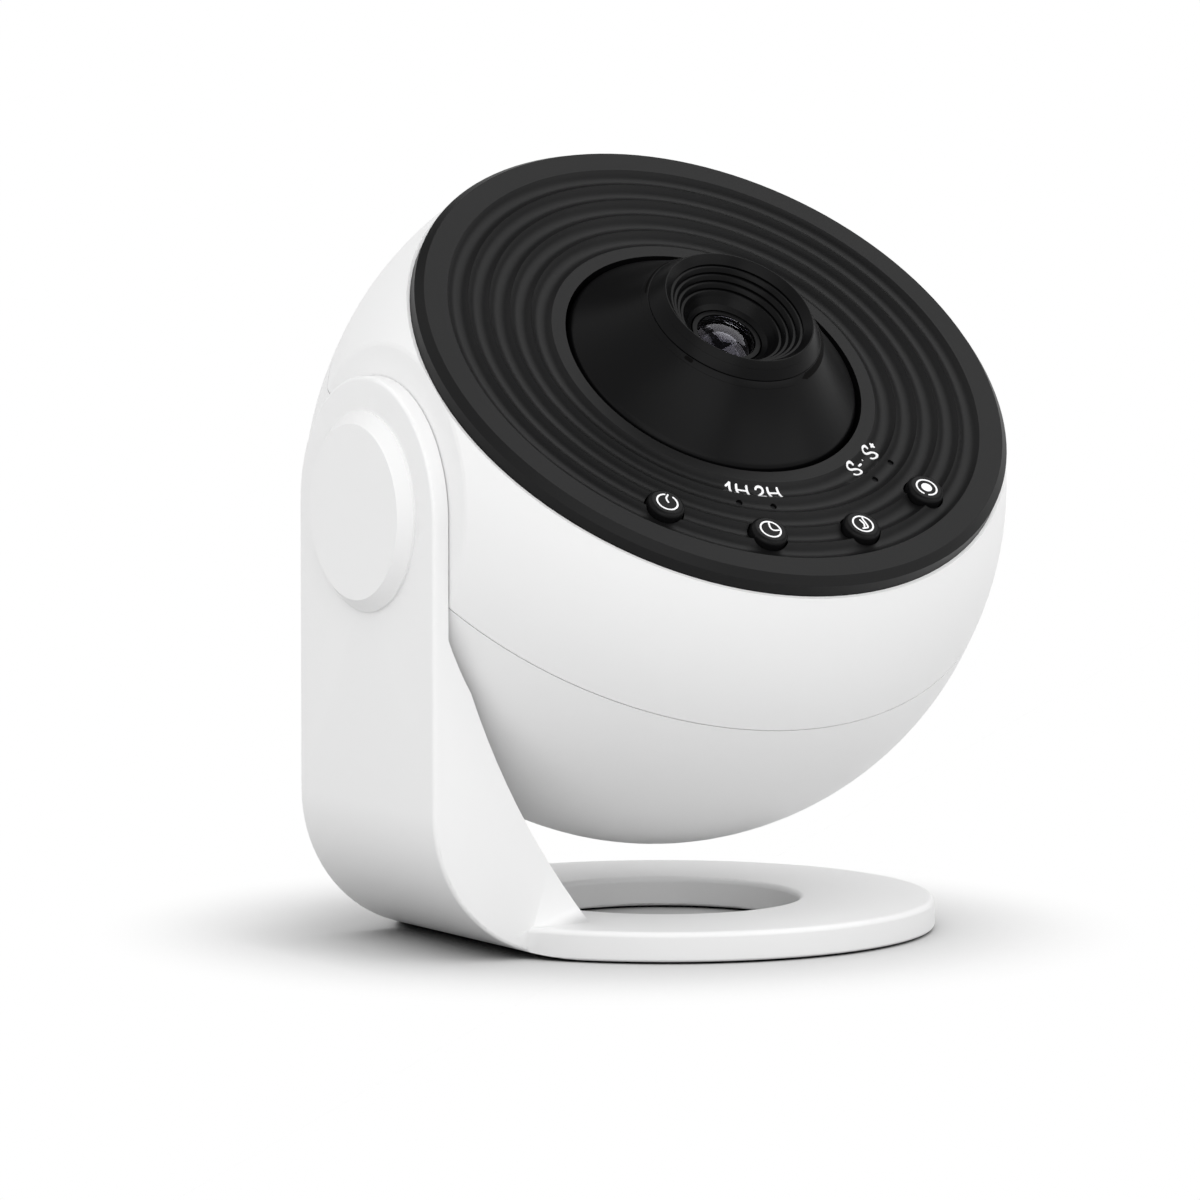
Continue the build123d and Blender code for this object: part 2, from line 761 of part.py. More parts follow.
with BuildPart() as face_plate:
    with BuildSketch(section):
        with BuildLine():
            Polyline(
                (border_inner_radius, border_height),
                (face_radius - face_chamfer, border_height),
                (face_radius, border_height - face_chamfer),
                (face_radius, plate_seat_height),
                (face_radius - skirt_thickness, plate_seat_height),
                (face_radius - skirt_thickness, face_underside),
                (well_radius + well_wall, face_underside),
                (well_radius + well_wall, well_floor_height),
                (well_ledge_radius, well_floor_height),
                (well_ledge_radius, well_floor_height + well_ledge_thickness),
                (well_radius, well_floor_height + well_ledge_thickness),
                (well_radius, inner_ring_height),
                (cove_inner_radius, inner_ring_height),
            )
            for i in range(cove_count):
                crest_in = (
                    cove_inner_radius + i * cove_pitch,
                    inner_ring_height + inner_ring_drop * i / cove_count,
                )
                crest_out = (crest_in[0] + cove_pitch, crest_in[1] + inner_ring_drop / cove_count)
                valley = (crest_in[0] + cove_pitch / 2, (crest_in[1] + crest_out[1]) / 2 - cove_depth)
                ThreePointArc(crest_in, valley, crest_out)
        make_face()
    revolve(axis=optical_axis)
    with BuildSketch(across(face_underside)):
        with Locations(*button_points):
            Circle(button_radius + free_gap)
        with Locations(*indicator_points):
            Circle(indicator_radius)
    extrude(amount=button_top_height - face_underside, mode=Mode.SUBTRACT)
    for i in range(hook_count):
        add(snap_hook.part.rotate(optical_axis, (i + 0.5) * 360 / hook_count - hook_arc / 2))
    with BuildSketch(across(board_top)):
        with Locations(*board_boss_points):
            Circle(small_screw_radius + boss_wall)
            Circle(small_screw_radius, mode=Mode.SUBTRACT)
    extrude(amount=face_underside - board_top)
finish(face_plate, "face_plate", black)

for button_name, button_point in zip(button_names, button_points):
    with BuildPart() as button:
        with BuildSketch(across(face_underside)):
            with Locations(button_point):
                Circle(button_radius)
        extrude(amount=button_top_height - face_underside)
        fillet(button.edges().group_by(optical_axis)[-1], button_edge)
        with BuildSketch(across(button_flange_top)):
            with Locations(button_point):
                Circle(button_flange_radius)
        extrude(amount=-button_flange_thickness)
        with BuildSketch(across(face_underside)):
            with Locations(button_point):
                Circle(button_stem_radius)
        extrude(amount=stem_bottom - face_underside)
    finish(button, f"button_{button_name}", black)

with BuildPart() as indicator_pipes:
    with BuildSketch(across(face_underside)):
        with Locations(*indicator_points):
            Circle(indicator_radius - seat_gap)
    extrude(amount=indicator_rise)
    with BuildSketch(across(face_underside)):
        with Locations(*indicator_points):
            Circle(2 * indicator_radius)
    extrude(amount=-indicator_foot)
finish(indicator_pipes, "indicator_pipes", glass)

# Control board
with BuildPart() as control_board:
    with BuildSketch(across(board_top)):
        Circle(board_outer_radius)
        Circle(board_inner_radius, mode=Mode.SUBTRACT)
        with Locations((0, board_outer_radius + board_upper_edge)):
            Rectangle(2 * board_outer_radius, 2 * board_outer_radius, mode=Mode.SUBTRACT)
        with Locations(*board_boss_points):
            Circle(small_screw_radius + through_gap, mode=Mode.SUBTRACT)
    extrude(amount=-board_thickness)
finish(control_board, "control_board", green)

with BuildPart() as tact_switches:
    for point, angle in zip(button_points, button_angles):
        with BuildSketch(across(board_top)):
            with Locations(Location((*point, 0), angle)):
                Rectangle(switch_size, switch_size)
        extrude(amount=switch_body_height)
        with BuildSketch(across(board_top)):
            with Locations(point):
                Circle(switch_plunger_radius)
        extrude(amount=switch_height)
finish(tact_switches, "tact_switches", black)

small_head = (small_screw_head_radius, small_screw_head_height)
screws("board_screws", across(board_top - board_thickness), board_boss_points, small_screw_radius,
       small_head, board_screw_length, side=-1)

# Lens cover and focus ring
with BuildPart() as lens_cover:
    with BuildSketch(section):
        with BuildLine():
            Polyline(
                (cover_bore, cover_foot),
                (cover_radius, cover_foot),
                (cover_radius, cover_shoulder_height),
            )
            shoulder = TangentArc(
                (cover_radius, cover_shoulder_height),
                (cover_radius - cover_shoulder_run, cover_shoulder_height + cover_shoulder_rise),
                tangent=(0, 1),
            )
            SagittaArc(shoulder @ 1, (cover_top_radius, cover_top_height), cover_flare_sag)
            Polyline(
                (cover_top_radius, cover_top_height),
                (neck_radius + running_gap, cover_top_height),
                (neck_radius + running_gap, cover_inner_top),
                (clip_radius + free_gap, cover_inner_top),
                (cover_bore, cover_shoulder_height),
                (cover_bore, bulkhead_height + bulkhead_thickness),
                (guide_radius, bulkhead_height + bulkhead_thickness),
                (guide_radius, guide_top_height),
                (guide_bore, guide_top_height),
                (guide_bore, guide_bottom_height),
                (guide_radius, guide_bottom_height),
                (guide_radius, bulkhead_height),
                (cover_bore, bulkhead_height),
                (cover_bore, cover_foot),
            )
        make_face()
    revolve(axis=optical_axis)
    # keyways that stop the barrel from turning
    with BuildSketch(across(guide_bottom_height)):
        Rectangle(2 * barrel_key_radius + 2 * running_gap, barrel_key_width + 2 * running_gap)
    extrude(amount=guide_top_height - guide_bottom_height, mode=Mode.SUBTRACT)
finish(lens_cover, "lens_cover", black)

with BuildPart() as focus_ring:
    with BuildSketch(section):
        with BuildLine():
            ring_bottom = cover_top_height + ring_seam
            shoulder_radius = ring_lip_radius + ring_shoulder_run
            shoulder_height = ring_lip_height - ring_shoulder_drop
            lip_start = (ring_lip_radius + ring_lip_run, ring_lip_height - ring_lip_drop)
            Polyline(
                (neck_radius, ring_bottom),
                (cover_top_radius - ring_shoulder_step, ring_bottom),
                (shoulder_radius, shoulder_height),
                (shoulder_radius - ring_shoulder_step, shoulder_height),
                lip_start,
            )
            lip = TangentArc(
                lip_start, (ring_lip_radius + ring_lip_flat, ring_lip_height), tangent=(-0.3, 0.5)
            )
            # stepped light baffle: each step goes down at its edge, then inwards
            steps = [lip @ 1, (ring_lip_radius, ring_lip_height), (ring_lip_radius, baffle_height)]
            for i in range(baffle_count):
                edge_radius = ring_lip_radius - baffle_inset - i * baffle_run
                steps.append((edge_radius, baffle_height - i * baffle_rise))
                if i < baffle_count - 1:
                    steps.append((edge_radius, baffle_height - (i + 1) * baffle_rise))
            funnel_start = (
                edge_radius - funnel_inset, baffle_height - (baffle_count - 1) * baffle_rise - ring_seam
            )
            thread_bore = barrel_thread_radius + free_gap
            skirt_radius = thread_bore + ring_skirt_wall
            Polyline(
                *steps,
                funnel_start,
                (funnel_end_radius, funnel_end_height),
                (funnel_end_radius, funnel_end_height - funnel_edge),
                (thread_bore, funnel_end_height - funnel_edge),
                (thread_bore, ring_skirt_bottom),
                (skirt_radius, ring_skirt_bottom),
                (skirt_radius, neck_bottom_height),
                (neck_radius, neck_bottom_height),
                (neck_radius, groove_top - clip_thickness - 2 * seat_gap),
                (clip_groove_radius, groove_top - clip_thickness - 2 * seat_gap),
                (clip_groove_radius, groove_top),
                (neck_radius, groove_top),
                (neck_radius, ring_bottom),
            )
        make_face()
    revolve(axis=optical_axis)
finish(focus_ring, "focus_ring", black)

with BuildPart() as focus_clip:
    with BuildSketch(across(groove_top - seat_gap)):
        Circle(clip_radius)
        Circle(clip_groove_radius + seat_gap, mode=Mode.SUBTRACT)
        with Locations((0, -clip_radius)):
            Rectangle(clip_opening, 2 * clip_opening, mode=Mode.SUBTRACT)
    extrude(amount=-clip_thickness)
finish(focus_clip, "focus_clip", steel)

with BuildPart() as lens_barrel:
    with BuildSketch(section):
        with BuildLine():
            lens_stop = barrel_nose_height - barrel_lip_thickness
            Polyline(
                (barrel_bore, barrel_bottom_height),
                (barrel_radius, barrel_bottom_height),
                (barrel_radius, barrel_thread_height),
                (barrel_thread_radius, barrel_thread_height),
                (barrel_thread_radius, barrel_shoulder_height),
                (barrel_nose_radius, barrel_shoulder_height),
                (barrel_nose_radius, barrel_nose_height),
                (barrel_lip_radius, barrel_nose_height),
                (barrel_lip_radius, lens_stop),
                (barrel_bore, lens_stop),
                close=True,
            )
        make_face()
    revolve(axis=optical_axis)
    # keys that run in the cover's keyways
    with BuildSketch(across(barrel_bottom_height + barrel_key_rise)):
        Rectangle(2 * barrel_key_radius, barrel_key_width)
        Circle(barrel_radius - barrel_wall / 2, mode=Mode.SUBTRACT)
    extrude(amount=barrel_key_length)
finish(lens_barrel, "lens_barrel", black)

with BuildPart() as front_lens:
    with BuildSketch(section):
        with BuildLine():
            lens_seat = lens_stop - seat_gap
            Polyline(
                (lens_dome_radius, lens_seat),
                (lens_radius, lens_seat),
                (lens_radius, lens_seat - front_lens_thickness),
                (0, lens_seat - front_lens_thickness),
                (0, lens_dome_height),
            )
            dome_sphere = cap_sphere(lens_dome_radius, lens_dome_height - lens_seat)
            RadiusArc((0, lens_dome_height), (lens_dome_radius, lens_seat), dome_sphere)
        make_face()
    revolve(axis=optical_axis)
finish(front_lens, "front_lens", glass)

retainer_bottom = barrel_bottom_height + lens_retainer_inset
retainer_top = retainer_bottom + lens_retainer_height
spacer_bottom = retainer_top + rear_lens_thickness
with BuildPart() as rear_lens:
    with BuildSketch(across(retainer_top)):
        Circle(lens_radius)
    extrude(amount=rear_lens_thickness)
    with BuildSketch(section):
        with BuildLine():
            rear_dome = lens_dome_radius - rear_dome_inset
            rear_peak = (0, spacer_bottom + rear_dome_rise)
            Polyline((rear_dome, spacer_bottom), (0, spacer_bottom), rear_peak)
            RadiusArc(rear_peak, (rear_dome, spacer_bottom), cap_sphere(rear_dome, rear_dome_rise))
        make_face()
    revolve(axis=optical_axis)
finish(rear_lens, "rear_lens", glass)

with BuildPart() as lens_spacer:
    with BuildSketch(across(spacer_bottom)):
        Circle(lens_radius)
        Circle(lens_radius - lens_spacer_wall, mode=Mode.SUBTRACT)
    extrude(amount=lens_seat - front_lens_thickness - spacer_bottom)
finish(lens_spacer, "lens_spacer", black)

with BuildPart() as lens_retainer:
    with BuildSketch(across(retainer_bottom)):
        Circle(lens_radius)
        Circle(lens_radius - lens_retainer_wall, mode=Mode.SUBTRACT)
    extrude(amount=lens_retainer_height)
finish(lens_retainer, "lens_retainer", black)

# Chassis
with BuildPart() as chassis:
    with BuildSketch(section):
        with BuildLine():
            Polyline(
                (chassis_tube_radius, chassis_tube_top),
                (chassis_tube_radius, chassis_top),
                (chassis_radius, chassis_top),
                (chassis_radius, chassis_height),
                (chassis_tube_radius, chassis_height),
                (chassis_tube_radius, chassis_tube_bottom + chassis_foot_thickness),
                (heat_sink_radius, chassis_tube_bottom + chassis_foot_thickness),
                (heat_sink_radius, chassis_tube_bottom),
                (lamp_bore, chassis_tube_bottom),
                (lamp_bore, condenser_seat_height),
                (chassis_tube_bore, condenser_seat_height),
                (chassis_tube_bore, chassis_tube_top),
                close=True,
            )
        make_face()
    revolve(axis=optical_axis)
    # ribs under the plate, from the tube towards each post
    rib_start = (chassis_tube_radius + chassis_tube_bore) / 2
    rib_end = post_ring_radius - post_radius - free_gap
    with BuildSketch(across(chassis_height)):
        with PolarLocations(0, post_count, start_angle=45):
            with Locations(((rib_start + rib_end) / 2, 0)):
                Rectangle(rib_end - rib_start, chassis_rib_thickness)
    extrude(amount=-chassis_rib_drop)
    with BuildSketch(across(chassis_height)):
        with Locations(*post_points, *motor_screw_points):
            Circle(screw_radius + through_gap)
        with Locations((0, motor_distance)):
            Circle(motor_boss_radius + seat_gap)
        # cable slots to the motor and to the control board
        with Locations(*cable_slot_points):
            SlotOverall(cable_slot_length, cable_slot_width)
    extrude(amount=chassis_thickness, mode=Mode.SUBTRACT)
    with BuildSketch(across(chassis_tube_bottom)):
        with Locations(*sink_points):
            Circle(screw_radius)
    extrude(amount=chassis_foot_thickness, mode=Mode.SUBTRACT)
finish(chassis, "chassis", grey)

screw_head = (screw_head_radius, screw_head_height)
screws("chassis_screws", across(chassis_top), post_points, screw_radius, screw_head,
       chassis_screw_length)

# Light engine
with BuildPart() as condenser_lens:
    with BuildSketch(section):
        with BuildLine():
            rim_top = condenser_seat_height + condenser_rim
            condenser_radius = chassis_tube_bore - condenser_gap
            condenser_dome = condenser_radius - condenser_rim_width
            Polyline(
                (condenser_dome, rim_top),
                (condenser_radius, rim_top),
                (condenser_radius, condenser_seat_height),
                (0, condenser_seat_height),
                (0, rim_top + condenser_rise),
            )
            condenser_sphere = cap_sphere(condenser_dome, condenser_rise)
            RadiusArc((0, rim_top + condenser_rise), (condenser_dome, rim_top), condenser_sphere)
        make_face()
    revolve(axis=optical_axis)
finish(condenser_lens, "condenser_lens", glass)

with BuildPart() as condenser_clip:
    with BuildSketch(across(rim_top)):
        Circle(condenser_radius)
        Circle(condenser_dome + free_gap, mode=Mode.SUBTRACT)
        with Locations((condenser_radius, 0)):
            Rectangle(2 * condenser_clip_opening, condenser_clip_opening, mode=Mode.SUBTRACT)
    extrude(amount=condenser_clip_thickness)
finish(condenser_clip, "condenser_clip", steel)

with BuildPart() as heat_sink:
    with BuildSketch(across(chassis_tube_bottom)):
        Circle(heat_sink_radius)
        with Locations(*sink_points):
            Circle(screw_radius + through_gap, mode=Mode.SUBTRACT)
    extrude(amount=-heat_sink_base)
    with BuildSketch(across(chassis_tube_bottom - heat_sink_base)):
        with GridLocations(fin_pitch, 0, fin_count, 1):
            Rectangle(fin_thickness, 2 * heat_sink_radius)
        Circle(heat_sink_radius, mode=Mode.INTERSECT)
    extrude(amount=-fin_length)
finish(heat_sink, "heat_sink", steel)

screws("sink_screws", across(chassis_tube_bottom - heat_sink_base), sink_points, screw_radius,
       screw_head, sink_screw_length, side=-1)

with BuildPart() as led_board:
    with BuildSketch(across(chassis_tube_bottom)):
        Circle(led_board_radius)
    extrude(amount=led_board_thickness)
finish(led_board, "led_board", white)

with BuildPart() as led_emitter:
    led_seat = chassis_tube_bottom + led_board_thickness
    with BuildSketch(across(led_seat)):
        Rectangle(led_size, led_size)
    extrude(amount=led_base_thickness)
    with BuildSketch(section):
        with BuildLine():
            dome_foot = led_seat + led_base_thickness
            dome_peak = (0, dome_foot + led_dome_radius)
            Polyline((led_dome_radius, dome_foot), (0, dome_foot), dome_peak)
            RadiusArc(dome_peak, (led_dome_radius, dome_foot), led_dome_radius)
        make_face()
    revolve(axis=optical_axis)
finish(led_emitter, "led_emitter", glass)

# Film disc, carrier gear and motor
def tooth_half_angle(teeth, radius):
    """Half the angle of an involute tooth at a radius, in degrees."""
    pitch_radius = teeth * gear_module / 2
    involute_radius = pitch_radius * cos(radians(pressure_angle))
    inner = acos(involute_radius / pitch_radius)
    outer = acos(min(1.0, involute_radius / radius))
    thickness = (pi * gear_module / 2 - tooth_play) / 2
    return degrees(thickness / pitch_radius + (tan(inner) - inner) - (tan(outer) - outer))


def gear_sketch(teeth, start_angle):
    """Round blank with its teeth, drawn about the sketch origin."""
    pitch_radius = teeth * gear_module / 2
    root_radius = pitch_radius - 1.25 * gear_module
    tip_radius = pitch_radius + gear_module
    flank = [(r, tooth_half_angle(teeth, r)) for r in (root_radius, pitch_radius, tip_radius)]
    with BuildSketch() as gear:
        with BuildSketch(mode=Mode.PRIVATE) as tooth:
            with BuildLine():
                left = ThreePointArc(*[polar(r, angle) for r, angle in flank])
                right = ThreePointArc(*[polar(r, -angle) for r, angle in flank])
                Line(left @ 1, right @ 1)
                Polyline(left @ 0, polar(root_radius - tooth_root_overlap, 0), right @ 0)
            make_face()
        Circle(root_radius)
        with PolarLocations(0, teeth, start_angle=start_angle):
            add(tooth.sketch)
    return gear.sketch


carrier_bore = chassis_tube_radius + running_gap
carrier_rim_radius = gear_module * (carrier_teeth / 2 - 1.25)
with BuildPart() as disc_carrier:
    with BuildSketch(across(carrier_bottom_height)):
        Circle(carrier_bore + carrier_hub_wall)
    extrude(amount=carrier_hub_height)
    with BuildSketch(across(carrier_gear_height)):
        add(gear_sketch(carrier_teeth, 0))
    extrude(amount=carrier_gear_thickness)
    with BuildSketch(across(carrier_gear_top)):
        Circle(carrier_rim_radius)
        Circle(film_radius + seat_gap, mode=Mode.SUBTRACT)
    extrude(amount=carrier_rim_rise)
    with BuildSketch(across(carrier_bottom_height)):
        Circle(carrier_bore)
    extrude(amount=carrier_gear_top - carrier_bottom_height, mode=Mode.SUBTRACT)
finish(disc_carrier, "disc_carrier", black)

with BuildPart() as film_disc:
    with BuildSketch(across(carrier_gear_top)):
        Circle(film_radius)
    extrude(amount=film_thickness)
    with BuildSketch(across(carrier_gear_top)):
        Circle(film_radius)
        Circle(film_radius - film_border, mode=Mode.SUBTRACT)
    extrude(amount=film_rim_height)
finish(film_disc, "film_disc", glass)

with BuildPart() as motor:
    with BuildSketch(across(chassis_height)):
        with Locations((0, motor_distance)):
            Circle(motor_radius)
    extrude(amount=-motor_length)
    fillet(motor.edges().group_by(optical_axis)[0], motor_edge)
    with BuildSketch(across(chassis_height)):
        with Locations((0, motor_distance)):
            Circle(motor_boss_radius)
    extrude(amount=chassis_thickness - free_gap)
    with BuildSketch(across(chassis_top)):
        with Locations((0, motor_distance)):
            Circle(motor_shaft_radius + running_gap)
    extrude(amount=-motor_bore_depth, mode=Mode.SUBTRACT)
    with BuildSketch(across(chassis_top)):
        with Locations(*motor_screw_points):
            Circle(screw_radius)
    extrude(amount=-(motor_screw_length + pilot_spare), mode=Mode.SUBTRACT)
finish(motor, "motor", steel)

with BuildPart() as motor_pinion:
    with BuildSketch(across(chassis_top - motor_shaft_depth)):
        with Locations((0, motor_distance)):
            Circle(motor_shaft_radius)
    extrude(amount=motor_shaft_depth + motor_shaft_reach)
    with BuildSketch(across(chassis_top + free_gap)):
        with Locations((0, motor_distance)):
            Circle(pinion_hub_radius)
    extrude(amount=pinion_hub_height)
    with BuildSketch(across(carrier_gear_height - pinion_margin)):
        with Locations((0, motor_distance)):
            add(gear_sketch(pinion_teeth, 180 / pinion_teeth))
    extrude(amount=carrier_gear_thickness + 2 * pinion_margin)
finish(motor_pinion, "motor_pinion", brass)

screws("motor_screws", across(chassis_top), motor_screw_points, screw_radius, screw_head,
       motor_screw_length)

# Power inlet
power_board_plane = Plane.XY.offset(pivot_height + power_board_top)
with BuildPart() as power_board:
    with BuildSketch(power_board_plane):
        with Locations((0, power_board_start + power_board_length / 2)):
            Rectangle(inlet_pocket_width, power_board_length)
        with Locations(*power_screw_points):
            Circle(small_screw_radius + through_gap, mode=Mode.SUBTRACT)
    extrude(amount=-power_board_thickness)
finish(power_board, "power_board", green)

with BuildPart() as usb_socket:
    with BuildSketch(inlet_frame.offset(inlet_face_distance)):
        SlotOverall(inlet_width, inlet_height)
    extrude(amount=-inlet_depth)
    with BuildSketch(inlet_frame.offset(inlet_face_distance)):
        SlotOverall(inlet_width - 2 * inlet_wall, inlet_height - 2 * inlet_wall)
    extrude(amount=inlet_bottom - inlet_depth, mode=Mode.SUBTRACT)
    with BuildSketch(inlet_frame.offset(inlet_face_distance - inlet_depth)):
        Rectangle(inlet_width - 2 * inlet_tongue_inset, inlet_tongue_thickness)
    extrude(amount=inlet_depth - inlet_tongue_setback)
finish(usb_socket, "usb_socket", steel)

screws("power_screws", power_board_plane, power_screw_points, small_screw_radius, small_head,
       power_screw_length)
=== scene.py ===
import json
import math

import bmesh
import bpy
import numpy as np
from mathutils import Matrix, Vector


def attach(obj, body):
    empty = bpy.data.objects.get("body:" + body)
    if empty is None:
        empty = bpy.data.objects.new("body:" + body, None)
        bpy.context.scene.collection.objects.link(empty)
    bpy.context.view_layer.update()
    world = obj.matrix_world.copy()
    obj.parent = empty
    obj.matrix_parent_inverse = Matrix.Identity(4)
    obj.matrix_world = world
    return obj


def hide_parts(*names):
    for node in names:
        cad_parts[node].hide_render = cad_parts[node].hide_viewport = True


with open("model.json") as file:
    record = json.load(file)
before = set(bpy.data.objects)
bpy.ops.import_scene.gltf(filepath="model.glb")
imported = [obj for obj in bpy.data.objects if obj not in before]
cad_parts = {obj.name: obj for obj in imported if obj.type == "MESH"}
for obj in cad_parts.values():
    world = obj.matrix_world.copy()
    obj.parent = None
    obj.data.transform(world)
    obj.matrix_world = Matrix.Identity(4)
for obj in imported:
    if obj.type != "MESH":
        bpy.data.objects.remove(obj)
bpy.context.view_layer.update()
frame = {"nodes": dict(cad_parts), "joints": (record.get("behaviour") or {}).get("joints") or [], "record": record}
nodes = frame["nodes"]
joints = {joint["name"]: joint for joint in frame["joints"]}
print("frame loaded:", len(nodes), "nodes")

# The head's own frame: aim points out of the lens, up lies in the face, sizes below are in mm.
mm = 0.001
pivot = np.array(joints["head_tilt"]["pos_m"], float)
aim = np.array(joints["cover_pull"]["axis"], float)
aim /= np.linalg.norm(aim)
side = np.array([1.0, 0.0, 0.0])
up = np.cross(aim, side)


def facePoints(x, v, d):
    # x to the side, v up the face and d ahead of the pivot, in mm, as places in the row frame
    x, v, d = np.broadcast_arrays(x, v, d)
    local = np.stack([x, v, d], axis=-1) * mm
    return pivot + local @ np.stack([side, up, aim])


def standPoints(x, y, z):
    # the same for the stand: x, y and z of the row frame, in mm
    return np.stack(np.broadcast_arrays(x, y, z), axis=-1) * mm


def gridFaces(rows, cols, closedRows=False, closedCols=False):
    # quads between neighbouring points of a rows x cols grid, wrapped round where it is closed
    i = np.arange(rows if closedRows else rows - 1)[:, None]
    j = np.arange(cols if closedCols else cols - 1)[None, :]
    iNext, jNext = (i + 1) % rows, (j + 1) % cols
    quads = np.stack([i * cols + j, iNext * cols + j, iNext * cols + jNext, i * cols + jNext], axis=-1)
    return quads.reshape(-1, 4).tolist()


def newMesh(name, parts, crease=35.0):
    # joins the (points, faces) parts, merges doubles at seams and poles, turns every face outwards
    points, faces, start = [], [], 0
    for partPoints, partFaces in parts:
        flat = np.asarray(partPoints).reshape(-1, 3)
        points.append(flat)
        faces += [[start + corner for corner in face] for face in partFaces]
        start += len(flat)
    mesh = bpy.data.meshes.new(name)
    mesh.from_pydata(np.concatenate(points).tolist(), [], faces)
    work = bmesh.new()
    work.from_mesh(mesh)
    bmesh.ops.remove_doubles(work, verts=work.verts, dist=1e-7)
    bmesh.ops.recalc_face_normals(work, faces=work.faces)
    work.to_mesh(mesh)
    work.free()
    mesh.polygons.foreach_set("use_smooth", np.full(len(mesh.polygons), True))
    mesh.set_sharp_from_angle(angle=math.radians(crease))
    piece = bpy.data.objects.new(name, mesh)
    bpy.context.scene.collection.objects.link(piece)
    return piece


def addPiece(name, parts, body, material, crease=35.0):
    piece = newMesh(name, parts, crease)
    piece.data.materials.append(material)
    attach(piece, body)
    return piece


def softCorners(corners, radius, steps=4):
    # closed outline with every corner replaced by a short curve: the quadratic Bezier curve from
    # the point radius before the corner to the point radius after it, the corner as its handle
    corners = np.asarray(corners, float)
    before, after = np.roll(corners, 1, 0) - corners, np.roll(corners, -1, 0) - corners
    reachBefore = np.minimum(radius / np.linalg.norm(before, axis=1), 0.42)[:, None]
    reachAfter = np.minimum(radius / np.linalg.norm(after, axis=1), 0.42)[:, None]
    start, end = corners + before * reachBefore, corners + after * reachAfter
    s = np.linspace(0, 1, steps + 1)[None, :, None]
    curve = (1 - s) ** 2 * start[:, None] + 2 * s * (1 - s) * corners[:, None] + s ** 2 * end[:, None]
    return curve.reshape(-1, 2)


def turned(profile, place, segments=160, closed=True):
    # surface of revolution: each (radius, height) of the profile goes round the axis
    profile = np.asarray(profile, float)
    angle = np.linspace(0, 2 * np.pi, segments, endpoint=False)[None, :]
    radius, height = profile[:, :1], profile[:, 1:]
    points = place(radius * np.cos(angle), radius * np.sin(angle), height)
    return points, gridFaces(len(profile), segments, closedRows=closed, closedCols=True)


def domeProfile(radius, edgeHeight, rise, steps=16):
    # arc of a sphere from the axis out to the edge, as (radius, height)
    sphere = (radius ** 2 + rise ** 2) / (2 * rise)
    angle = np.linspace(0, math.asin(radius / sphere), steps)
    return np.stack([sphere * np.sin(angle), edgeHeight + rise - sphere * (1 - np.cos(angle))], -1)


def alongLine(corners, spacing):
    # evenly spaced points on the straight runs between the corners
    corners = np.asarray(corners, float)
    run = np.concatenate([[0], np.cumsum(np.linalg.norm(np.diff(corners, axis=0), axis=1))])
    t = np.linspace(0, run[-1], max(int(run[-1] / spacing), 6))
    return np.stack([np.interp(t, run, corners[:, 0]), np.interp(t, run, corners[:, 1])], -1)


def alongCurve(corners, spacing):
    # Catmull-Rom curve through the corners, its points then spaced evenly
    corners = np.asarray(corners, float)
    t = np.linspace(0, len(corners) - 1, 24 * len(corners))
    i = np.minimum(t.astype(int), len(corners) - 2)
    a, b, c, d = [corners[np.clip(i + k, 0, len(corners) - 1)] for k in (-1, 0, 1, 2)]
    s = (t - i)[:, None]
    curve = 0.5 * (2 * b + (c - a) * s + (2 * a - 5 * b + 4 * c - d) * s ** 2
                   + (3 * b - a - 3 * c + d) * s ** 3)
    return alongLine(curve, spacing)


def alongArc(radius, fromAngle, toAngle, spacing):
    # arc about the axis, angles in degrees from the side towards up
    count = max(int(abs(math.radians(toAngle - fromAngle)) * radius / spacing), 8)
    angle = np.radians(np.linspace(fromAngle, toAngle, count))
    return np.stack([radius * np.cos(angle), radius * np.sin(angle)], -1)


def strokeBand(path, width, surface, sink=0.06, proud=0.035, closed=False):
    # thin band that follows a surface: left and right edges at half the width across the path,
    # each once a little below the surface and once a little above it, round at its two ends
    step = np.roll(path, -1, 0) - np.roll(path, 1, 0) if closed else np.gradient(path, axis=0)
    across = np.stack([-step[:, 1], step[:, 0]], -1) / np.linalg.norm(step, axis=1, keepdims=True)
    half = np.full(len(path), width / 2.0)
    if not closed:
        run = np.concatenate([[0], np.cumsum(np.linalg.norm(np.diff(path, axis=0), axis=1))])
        toEnd = np.minimum(np.minimum(run, run[-1] - run) / half, 1)
        half = half * np.sqrt(np.clip(1 - (1 - toEnd) ** 2, 0.03, 1))
    left, right = path + across * half[:, None], path - across * half[:, None]
    ring = np.stack([right, left, left, right], axis=1)
    x, v = ring[..., 0], ring[..., 1]
    points = facePoints(x, v, surface(x, v) + np.array([-sink, -sink, proud, proud]))
    faces = gridFaces(len(path), 4, closedRows=closed, closedCols=True)
    if not closed:
        last = 4 * (len(path) - 1)
        faces += [[0, 1, 2, 3], [last + 3, last + 2, last + 1, last]]
    return points, faces


def newGroup(name, inputs, outputs):
    group = bpy.data.node_groups.new(name, "ShaderNodeTree")
    for title, kind, value in inputs:
        socket = group.interface.new_socket(name=title, in_out="INPUT", socket_type=kind)
        if value is not None:
            socket.default_value = value
    for title, kind in outputs:
        group.interface.new_socket(name=title, in_out="OUTPUT", socket_type=kind)
    return group, group.nodes.new("NodeGroupInput"), group.nodes.new("NodeGroupOutput")


def mathNode(tree, operation, first, second=None, clamp=False):
    node = tree.nodes.new("ShaderNodeMath")
    node.operation = operation
    node.use_clamp = clamp
    for socket, value in zip(node.inputs, (first, second)):
        if value is None:
            continue
        if isinstance(value, (int, float)):
            socket.default_value = value
        else:
            tree.links.new(value, socket)
    return node.outputs[0]


